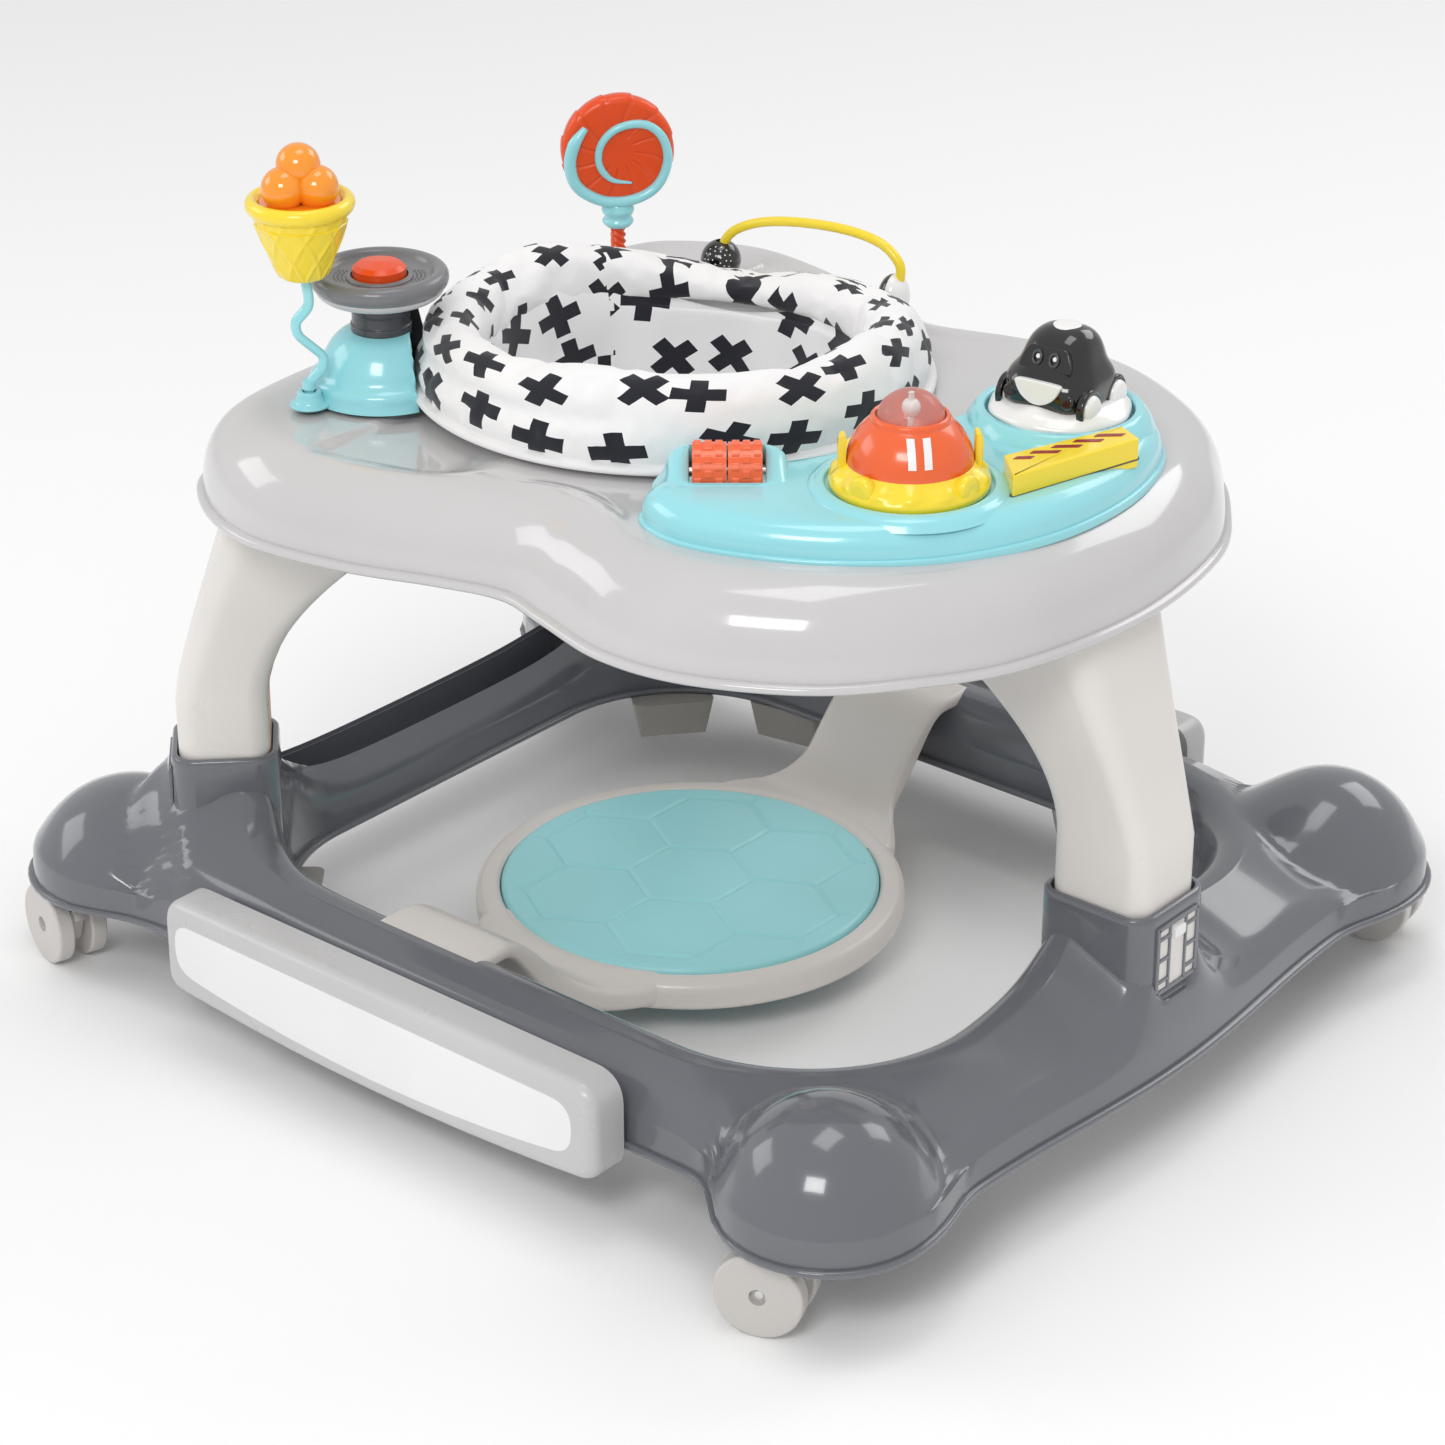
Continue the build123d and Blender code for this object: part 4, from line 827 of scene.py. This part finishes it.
def steering():
    x, y = WHEEL_TOY
    seat = np.array(SEAT)

    def clear_of_seat(r, z, a):
        k = 1.0
        way = np.array([cos(a), sin(a)])
        while k > 0.2 and r > 1 and np.linalg.norm(np.array([x, y]) + r * k * way - seat) < BAND_OUT:
            k -= 0.02
        return r * k, z

    lathe("wheel_mound_body", rounded([(46, 379), (44.5, 383), (44, 389), (38.5, 393), (36, 400),
        (31, 409), (25, 415), (18, 417), (0, 417)], [0, 2, 5, 5, 6, 6, 5, 3, 0]), "cyan", "tray",
        at=(x, y, 0), n=96, wave=clear_of_seat, nodes=["wheel_mound"])
    lathe("wheel_neck_body", rounded([(18, 415), (18.4, 421), (17.4, 421.6), (17.4, 428), (18.2, 428.8),
        (18.2, 436), (8, NECK_TOP + 1), (0, NECK_TOP + 1)], 0.7), "neck_dark", "tray", at=(x, y, 0),
        n=64, nodes=["wheel_neck"])
    low = NECK_TOP + 0.6
    lathe("steering_underside_body", rounded([(9, low + 1), (22, low - 0.5), (34, low + 0.2),
        (37.5, low + 3), (38.5, low + 6), (9, low + 6)], [0, 2, 2, 1.5, 1, 0]), "panel_grey", "steering",
        at=(x, y, 0), n=96, nodes=["steering_underside"])
    rim_low = NECK_TOP + 5.4
    lathe("steering_rim", rounded([(17, rim_low), (38, rim_low), (41, rim_low + 4), (41, rim_low + 9),
        (38, rim_low + 12.2), (33, rim_low + 12), (30, rim_low + 7.4), (17.2, rim_low + 6.6),
        (16.8, rim_low + 2)], [0, 2, 2.5, 2.5, 2.5, 2.5, 3, 0.6, 0]), "wheel_grey", "steering",
        at=(x, y, 0), n=120, nodes=["steering_wheel"])
    lathe("horn_ring", rounded([(16.9, rim_low + 6), (20.2, rim_low + 6.4), (20, rim_low + 8),
        (17.2, rim_low + 8.4)], 0.8), "wheel_grey", "steering", at=(x, y, 0), n=64)
    dots_v, dots_f = [], []
    for s in (-1, 1):
        for i in range(-3, 4):
            for j in range(-1, 2):
                cx, cy = s * (24.6 - 0.25 * i * i + 2.6 * j * 0.9), i * 3.0
                px = x + cx * cos(0.7) - cy * sin(0.7)
                py = y + cx * sin(0.7) + cy * cos(0.7)
                base = len(dots_v)
                for a in turns(8):
                    dots_v.append((px + 0.75 * cos(a), py + 0.75 * sin(a), rim_low + 7.35))
                dots_f.append(tuple(base + k for k in range(8)))
    mesh("steering_dots", dots_v, dots_f, "black", "steering", smooth=False)


def ice_cream():
    x, y = -172.0, -168.0
    pts = rounded([(0, 386), (0, 394), (9, 404), (9.5, 411), (-5.5, 424), (-6.5, 432), (2.5, 442),
        (2, 451), (0, 463)], 6, steps=5)
    c, s = cos(radians(40)), sin(radians(40))
    line = smooth_path([(x + c * u, y + s * u, z) for u, z in pts], 110, closed=False)
    tube("ice_stem_band", line, 2.5, "cyan", "ice_cream", n=20, flat=1.35, nodes=["ice_cream_stem"])
    lathe("ice_stem_foot", rounded([(0, 396), (3.8, 396), (4.1, 392), (4.2, 390.5), (0, 390.4)], 0.5),
        "cyan", "ice_cream", at=(x, y, 0), n=40)
    lathe("ice_foot_plate", rounded([(0, 380), (12, 380), (12, 381.6), (9, 382.6), (7.6, 386),
        (7.0, 389.4), (4.6, 389.4)], 1), "cyan", "tray", at=(x, y, 0), n=60)

    def lattice(r, z, a):
        t = (z - 460) / 40.0
        if 0.03 < t < 0.97 and r > 10:
            f = lambda q: exp(-((q - round(q)) / 0.10) ** 2)
            g = max(f(a * 9 / (2 * pi) + t * 1.4), f(a * 9 / (2 * pi) - t * 1.4))
            r += 0.9 * g
        return r, z

    side = [(13 + 15.5 * t**0.8 - (1.0 if t > 0.86 else 0), 461 + 39 * t) for t in np.linspace(0, 1, 60)]
    lathe("ice_cone_body", [(0, 459.5), (9.5, 459.5), (11.4, 460.2)] + side, "yellow", "ice_cream",
        at=(x, y, 0), n=216, wave=lattice, nodes=["ice_cream_cone"])
    lathe("ice_cone_rim", rounded([(26, 499), (30, 500.5), (32, 503.5), (32, 507), (29.5, 509.8),
        (26.5, 509.8), (24, 507), (22, 500)], [0, 2, 2, 2, 2, 2, 2, 0]), "yellow", "ice_cream",
        at=(x, y, 0), n=120)


SWIRL = [(-21, 17), (-28.5, 6), (-31, -8), (-26, -22), (-10, -31.5), (9, -31.5), (24, -23.5), (31, -8),
    (28.5, 7), (20, 16), (9, 18), (-3, 14.5), (-11.5, 5), (-12.5, -7.5), (-5, -17.5), (8, -20.5)]


def lollipop():
    x, y, z0 = -181.0, 118.0, 463.0
    place = frame_at(x, y, z0, -40, 90)

    def grooves(r, z, a):
        swirl = a * 12 / (2 * pi) + 0.55 * (r / 36.0) ** 1.3
        q = swirl - round(swirl)
        if 10 < r < 35.8:
            z -= copysign(0.8 * exp(-(q / 0.07) ** 2), z)
        if r > 33:
            step = 0.9 * (0.5 - (swirl - floor(swirl)))
            r = r + step
        return r, z

    half = [(r, 7.0 - 0.4 * (r / 33) ** 2) for r in np.linspace(0.01, 32.5, 34)]
    rim = [(34.5, 5.4), (35.8, 3.4), (36, 0), (35.8, -3.4), (34.5, -5.4)]
    back = [(r, -z) for r, z in half[::-1]]
    lathe("lolly_disc_body", half + rim + back, "orange_red", "lollipop", place=place, n=240,
        wave=grooves, nodes=["lollipop_disc"])
    t = np.linspace(0, 1, 120)
    width = (4.2 - 2.1 * t) * np.minimum(1, np.minimum(0.5 + 9 * t, 0.35 + 7 * (1 - t)))
    for face in (1, -1):
        line = [tuple(place @ Vector((-v, face * u, face * 7.2)))
            for u, v in smooth_path(SWIRL, 120, closed=False)]
        tube(f"lolly_spiral_{face + 1}", line, width, "cyan", "lollipop", n=16,
            nodes=["lollipop_swirl"] if face == 1 else ())
    # Scalloped collar under the disc, and the twisted stem below it.
    lathe("lolly_collar", rounded([(0, 412), (7.5, 412), (10.5, 415.5), (8.4, 419), (10.8, 423),
        (9.2, 428), (6, 431), (0, 431)], 1.6), "cyan", "lollipop", at=(x, y, 0), n=48)
    line = [(x, y, z) for z in np.linspace(386, 414, 60)]
    tube("lolly_stem_twist", line, 4.3, "orange_red", "lollipop", n=40, sides=4, twist=10.0,
        nodes=["lollipop_stem"])


def arch():
    (bx, by), (px, py) = (-124.0, 152.0), (8.0, 167.0)
    span = hypot(px - bx, py - by)
    ux, uy = (px - bx) / span, (py - by) / span
    pts = [(1, 398), (4, 408), (14, 417), (34, 425), (64, 430), (96, 431), (119, 427), (131, 418),
        (133, 409), (129, 398)]
    line = smooth_path([(bx + ux * u, by + uy * u, z) for u, z in pts], 120, closed=False)
    tube("arch_tube", line, 3.1, "yellow", "tray", n=24, nodes=["arch_bar"])
    verts, faces = [], []
    for ring, count in ((0.35, 5), (0.75, 10), (1.12, 14)):
        for k in range(count):
            b = 2 * pi * k / count
            look = Vector((0.45, -0.85, 0.28)).normalized()
            side = look.cross(Vector((0, 0, 1))).normalized()
            up = side.cross(look)
            out = (look + tan(ring * 0.62) * (side * cos(b) + up * sin(b))).normalized()
            mid = Vector((bx, by, 393.4)) + out * 13.12
            t1 = out.orthogonal().normalized()
            t2 = out.cross(t1)
            base = len(verts)
            for a in turns(8):
                verts.append(tuple(mid + (t1 * cos(a) + t2 * sin(a)) * 0.5))
            faces.append(tuple(base + j for j in range(8)))
    mesh("arch_ball_dots", verts, faces, "white", "arch_ball", smooth=False)
    # Two-tone pod where the bar ends.
    for name, low, high, slot in (("white", -0.5, 9, "white"), ("black", -9, -0.5, "black")):
        rows = []
        for t in np.linspace(low, high, 12):
            rr = 14.5 * sqrt(max(0.02, 1 - (t / 9.6) ** 2))
            row = []
            for a in turns(40):
                v = Vector((px - 4 + ux * t, py - 1 + uy * t, 395))
                v += Vector((-uy, ux, 0)) * (0.8 * rr * cos(a)) + Vector((0, 0, 1)) * rr * sin(a)
                row.append((v.x, v.y, max(v.z, 380.2)))
            rows.append(row)
        mesh(f"arch_pod_{name}", *skin(rows, caps=True), slot, "tray", angle=60,
            nodes=["arch_pod"] if name == "white" else ())


# ---- foot pad ---------------------------------------------------------------------------
PAD_X, PAD_R = -22.0, 119.8


def foot_pad():
    lathe("pad_ring_body", rounded([(110, 26), (133, 26), (136, 29), (136, 40), (133.5, 44.4), (128, 45),
        (123, 45), (120.6, 43.6), (120.4, 36), (110, 36)], [0, 2, 3, 4, 3, 2, 2, 1, 0, 0]),
        "pad_ring_grey", "foot_pad", at=(PAD_X, 0, 0), n=160, nodes=["foot_pad_ring"])
    # Plate with the fine grooves of a hexagon net.
    n_r, n_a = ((110, 420))
    side = 40.0

    def groove(px, py):
        w = side * sqrt(3)
        qa, qb = px / w, py / (1.5 * side)
        near = []
        for b in (floor(qb), floor(qb) + 1):
            shift = 0.5 * (b % 2)
            a = round(qa - shift) + shift
            for da in (-1, 0, 1):
                near.append(hypot(px - (a + da) * w, py - b * 1.5 * side))
        for b in (floor(qb) - 1, floor(qb) + 2):
            shift = 0.5 * (b % 2)
            a = round(qa - shift) + shift
            near.append(hypot(px - a * w, py - b * 1.5 * side))
        near.sort()
        return (near[1] - near[0]) / 2

    rows = []
    for i in range(n_r + 1):
        r = PAD_R * (i / n_r) ** 0.95
        row = []
        for a in turns(n_a):
            px, py = r * cos(a), r * sin(a)
            z = 47.6 - 0.6 * (r / 120) ** 2
            if r < 112:
                z -= 1.1 * exp(-(groove(px, py) / 1.1) ** 2)
            z -= 3.2 * (1 - edge_rise(PAD_R - r, 4.0, 2))
            row.append((PAD_X + px, py, z))
        rows.append(row)
    rows.append([(px, py, 36) for px, py, _ in rows[-1]])
    mesh("pad_plate_body", *skin(rows), "pad_cyan", "foot_pad", angle=60, nodes=["foot_pad_plate"])
    for s, name in ((-1, "right"), (1, "left")):
        rows = []
        for t in np.linspace(0, 1, 44):
            yy = 104 + 134 * t
            wide = 38 + 34 * (1 - ease(yy, 112, 168)) + 3 * ease(yy, 190, 225)
            z = 44.4 + 58 * ease(yy, 134, 214)
            thick = 15 - 5.5 * ease(yy, 186, 216)
            slope = 58 * 6 * ((yy - 134) / 80) * (1 - (yy - 134) / 80) / 80 if 134 < yy < 214 else 0
            drop = thick * sqrt(1 + slope * slope)
            sec = box_outline(2 * wide, drop, min(5.0, drop * 0.4), n=5)
            rows.append([(PAD_X + u, s * yy, z - drop / 2 + v) for u, v in sec])
        mesh(f"pad_arm_{name}", *skin(rows, caps=True), "pad_ring_grey", "foot_pad", angle=50)


# ---- seat -------------------------------------------------------------------------------
RIM = 434.0
BAND_R, BAND_Z = 135.0, 410.0


def seat_lay(ob, centre_r, centre_z, scale=0.0205):
    """UVs round the seat and round the section of the band, one unit for each cross."""
    me = ob.data
    layer = me.uv_layers.get("UVMap") or me.uv_layers.new(name="UVMap")
    co = np.empty(len(me.vertices) * 3)
    me.vertices.foreach_get("co", co)
    co = co.reshape(-1, 3) / MM
    ang = np.arctan2(co[:, 1] - SEAT[1], co[:, 0] - SEAT[0]) - radians(150)
    ang = np.mod(ang, 2 * pi)
    r = np.hypot(co[:, 0] - SEAT[0], co[:, 1] - SEAT[1])
    phi = np.arctan2(co[:, 2] - centre_z, r - centre_r) if centre_r else (co[:, 2] - centre_z)
    if centre_r:
        phi = np.mod(phi + pi / 2, 2 * pi)
    for poly in me.polygons:
        ids = [me.loops[k].vertex_index for k in poly.loop_indices]
        us, vs = ang[ids], phi[ids]
        if us.max() - us.min() > pi:
            us = np.where(us < pi, us + 2 * pi, us)
        if centre_r and vs.max() - vs.min() > pi:
            vs = np.where(vs < pi, vs + 2 * pi, vs)
        for k, u, v in zip(poly.loop_indices, us, vs):
            if centre_r:
                layer.data[k].uv = (u * 148 * scale + 0.21, v * 34 * scale + 0.37)
            else:
                layer.data[k].uv = (u * 112 * scale + 3.4, v * 1.25 * scale + 0.2)


def puff(ob, pinned, pressure=4.0, cap=7.0, voxel=0.005):
    """Blows a closed cushion up a little with a cloth simulation, held along its seams."""
    bpy.context.view_layer.objects.active = ob
    ob.select_set(True)
    rem = ob.modifiers.new("even", "REMESH")
    rem.mode = "VOXEL"
    rem.voxel_size = voxel
    bpy.ops.object.modifier_apply(modifier="even")
    me = ob.data
    group = ob.vertex_groups.new(name="held")
    before = np.empty(len(me.vertices) * 3)
    me.vertices.foreach_get("co", before)
    before = before.reshape(-1, 3)
    for v in me.vertices:
        w = pinned(v.co / MM)
        if w > 0:
            group.add([v.index], w, "REPLACE")
    cloth = ob.modifiers.new("cloth", "CLOTH")
    cfg = cloth.settings
    cfg.quality = 5
    cfg.mass = 0.3
    cfg.use_pressure = True
    cfg.uniform_pressure_force = pressure
    cfg.effector_weights.gravity = 0
    cfg.vertex_group_mass = "held"
    cfg.tension_stiffness = cfg.compression_stiffness = 12
    cfg.bending_stiffness = 0.4
    cfg.shrink_min = -0.03
    cloth.point_cache.frame_start = 1
    cloth.point_cache.frame_end = 20
    scene = bpy.context.scene
    for f in range(1, 21):
        scene.frame_set(f)
    deps = bpy.context.evaluated_depsgraph_get()
    live = ob.evaluated_get(deps)
    after = np.empty(len(live.data.vertices) * 3)
    live.data.vertices.foreach_get("co", after)
    after = after.reshape(-1, 3)
    ob.modifiers.remove(cloth)
    swell = after - before
    size = np.linalg.norm(swell, axis=1)
    limit = cap * MM
    swell *= (np.minimum(size, limit) / np.maximum(size, 1e-9))[:, None]
    me.vertices.foreach_set("co", (before + swell).ravel())
    me.update()
    scene.frame_set(1)
    for p in me.polygons:
        p.use_smooth = True


def seat():
    cx, cy = SEAT
    seams = [radians(a) for a in (-62, 28, 118, 208)]

    def seam_gap(a):
        return min(abs((a - s + pi) % (2 * pi) - pi) for s in seams) * 145

    def rim_rise(a):
        """The rim stands higher towards the front right and at the back rest."""
        d = (a - radians(165) + pi) % (2 * pi) - pi
        far = (a - radians(112) + pi) % (2 * pi) - pi
        return (-7.5 + 10.0 * cos(a + radians(50)) + 13 * exp(-(d / 0.55) ** 2) - 13
            * exp(-(far / 0.9) ** 2) + 1.4 * sin(5 * a + 1.0) + 0.8 * sin(9 * a))

    def lower_seam(a):
        d = (a + radians(125) + pi) % (2 * pi) - pi
        return 1 - ease(abs(d), 0.95, 1.1)

    rows = []
    profile = rounded([(126, 386), (150, 384), (154, 391), (153, 405), (149, 413), (147, 424),
        (139, RIM - 1), (127, RIM), (116, RIM - 6), (111, RIM - 18), (111, 400), (116, 388)], 6,
        closed=True, steps=3)
    n = 200
    for a in turns(n):
        pinch = exp(-(seam_gap(a) / 5.0) ** 2)
        rise = rim_rise(a)
        row = []
        for r, z in profile:
            k = ease(z, 392, RIM) if rise > 0 else min(1.0, max(0.0, (z - 386) / (RIM - 386)))
            rr = 132 + (r - 132) * (1 - 0.14 * pinch * k)
            if r > 140:
                rr -= 3.0 * exp(-((z - 410) / 3.5) ** 2) * lower_seam(a)
            row.append((cx + rr * cos(a), cy + rr * sin(a), z + rise * k - 2.0 * pinch * k))
        rows.append(row)
    band = mesh("seat_band", *skin(rows, ring=True), "seat_fabric", None)

    def pinned(p):
        a, r = atan2(p.y - cy, p.x - cx), hypot(p.x - cx, p.y - cy)
        on_seam = r > 143 and abs(p.z - BAND_Z) < 3 and lower_seam(a) > 0.5
        return 1.0 if p.z < 393 or seam_gap(a) < 3.0 or on_seam else 0.0

    puff(band, pinned, pressure=3.2, cap=6.0)
    seat_lay(band, BAND_R, BAND_Z)
    subdivide(band)
    finish(band, "seat_fabric", "seat", "seat_pad")
    # Bound hem on the tray.
    hem = lathe("seat_hem", rounded([(140, 383.6), (156, 383.2), (158, 384.6), (157, 387.4),
        (150, 389.4), (143, 389)], 1.4), "seat_fabric", None, at=(cx, cy, 0), n=160, mat=TRIM)
    seat_lay(hem, BAND_R, BAND_Z)
    finish(hem, "seat_fabric", "seat")
    # Bucket: hangs from the rim, gathers into soft folds and has two leg holes.
    line = smooth_path([(116, 414), (112, 400), (110, 376), (107, 350), (102, 318), (93, 288), (76, 262),
        (48, 246), (14, 240), (1, 239)], 70, closed=False)
    rows = []
    n = 240
    for i, (r, z) in enumerate(line):
        row = []
        for a in turns(n):
            amp = 2.6 * ease(i, 4, 26) * (1 - ease(i, 48, 68))
            fold = amp * (sin(9 * a + 0.08 * i) + 0.6 * sin(17 * a + 1.3 - 0.05 * i))
            fold += 2.2 * noise.noise(Vector((3.1 * cos(a), 3.1 * sin(a), z * 0.03))) * ease(i, 2, 14)
            rr = max(0.5, r + fold)
            lift = rim_rise(a) * ease(z, 380, 412)
            row.append((cx + rr * cos(a), cy + rr * sin(a), z + 0.6 * fold + lift))
        rows.append(row)
    verts, faces = skin(rows)

    def in_hole(v):
        return ((v[0] - (cx + 56)) / 44) ** 2 + ((abs(v[1]) - 54) / 37) ** 2 < 1 and v[2] < 330

    faces = [f for f in faces if not all(in_hole(verts[k]) for k in f)]
    sling = mesh("seat_bucket", verts, faces, "seat_fabric", None, mat=LINING)
    seat_lay(sling, 0.0, 200.0)
    wall(sling, 0.002, 0)
    finish(sling, "seat_fabric", "seat", "seat_sling")
    # Plain tag at the left side seam.
    a = radians(-139)
    spot = frame_at(cx + BAND_OUT * cos(a), cy + BAND_OUT * sin(a), BAND_Z, -50, 90) @ move(0, 0, 0, 12)
    slab("seat_tag", box_outline(33, 17, 1.5, 4), -0.8, 0.8, 0.5, "seat_fabric", "seat", mat=TAG,
        place=spot)


# ---- casters ------------------------------------------------------------------------------
CASTERS = {
    "front_right": (294.0, -290.0, -160.0),
    "front_left": (294.0, 290.0, 10.0),
    "rear_right": (-302.0, -270.0, 164.0),
    "rear_left": (-302.0, 270.0, 180.0),
}


def casters():
    for name, (x, y, trail) in CASTERS.items():
        place = frame_at(x, y, 0, trail)
        # Rounded hood over the wheels.
        rows = []
        for t in np.linspace(0, 1, 24):
            a = radians(8 + 150 * t)
            rows.append([tuple(place @ Vector((12 + (26 + d) * cos(a), v, 26 + (24.4 + d) * sin(a))))
                for v, d in ((-4.6, 0), (-4.6, 0.8), (-3.6, 1.2), (3.6, 1.2), (4.6, 0.8), (4.6, 0),
                (0, -2))])
        mesh(f"caster_hood_{name}", *skin(rows, caps=True), "caster_grey", f"caster_{name}", angle=40)


# ---- CAD pieces that stay -----------------------------------------------------------------
def dress_cad():
    """Gives every CAD node the material that its slot is named after."""
    for ob in NODES.values():
        for slot in ob.material_slots:
            key = (slot.material.name if slot.material else "").split(".")[0]
            if key in MATS:
                slot.material = MATS[key]


base_ring()
leg_sockets()
rocker_bars()
legs()
tray()
console()
dome_toy()
car_toy()
steering()
ice_cream()
lollipop()
arch()
foot_pad()
seat()
casters()
dress_cad()


# ---- stage, light and camera ----------------------------------------------------------------
def stage():
    ground = bpy.data.meshes.new("floor")
    ground.from_pydata([(-12, -12, 0), (12, -12, 0), (12, 12, 0), (-12, 12, 0)], [], [(0, 1, 2, 3)])
    ob = bpy.data.objects.new("floor", ground)
    bpy.context.scene.collection.objects.link(ob)
    mat, _, bsdf = shader("floor")
    settings(bsdf, Base_Color=(0.97, 0.97, 0.97, 1), Roughness=0.9)
    ground.materials.append(mat)
    world = bpy.data.worlds.new("studio")
    world.use_nodes = True
    settings(world.node_tree.nodes["Background"], Color=(1, 1, 1, 1), Strength=0.67)
    bpy.context.scene.world = world
    for name, place, size, power, aim in (("key", (0.9, -1.9, 1.9), 0.9, 18, (0.05, -0.05, 0.2)),
            ("fill", (-2.2, -1.2, 1.5), 1.4, 9, (0, 0, 0.2)),
            ("back", (0.4, 2.4, 2.1), 1.6, 14, (0, 0, 0.25)),
            ("top", (0.1, 0.0, 2.8), 1.2, 8.5, (0, 0, 0.3)),):
        light = bpy.data.lights.new(name, "AREA")
        light.shape = "RECTANGLE"
        light.size, light.size_y = size, size * 0.7
        light.energy = power
        lamp = bpy.data.objects.new(name, light)
        lamp.location = place
        lamp.rotation_euler = (Vector(aim) - Vector(place)).to_track_quat("-Z", "Y").to_euler()
        bpy.context.scene.collection.objects.link(lamp)


def camera():
    target = Vector((0.1560, -0.1806, 0.2807))
    az, el, away = radians(39.97), radians(26.49), 2.2056
    back = Vector((sin(az) * cos(el), -cos(az) * cos(el), sin(el)))
    cam = bpy.data.cameras.new("camera")
    cam.lens = 99.65
    cam.sensor_width = 36.0
    ob = bpy.data.objects.new("camera", cam)
    ob.location = target + back * away
    ob.rotation_euler = (-back).to_track_quat("-Z", "Y").to_euler()
    bpy.context.scene.collection.objects.link(ob)
    bpy.context.scene.camera = ob


stage()
camera()
bpy.context.scene.view_settings.view_transform = "Standard"
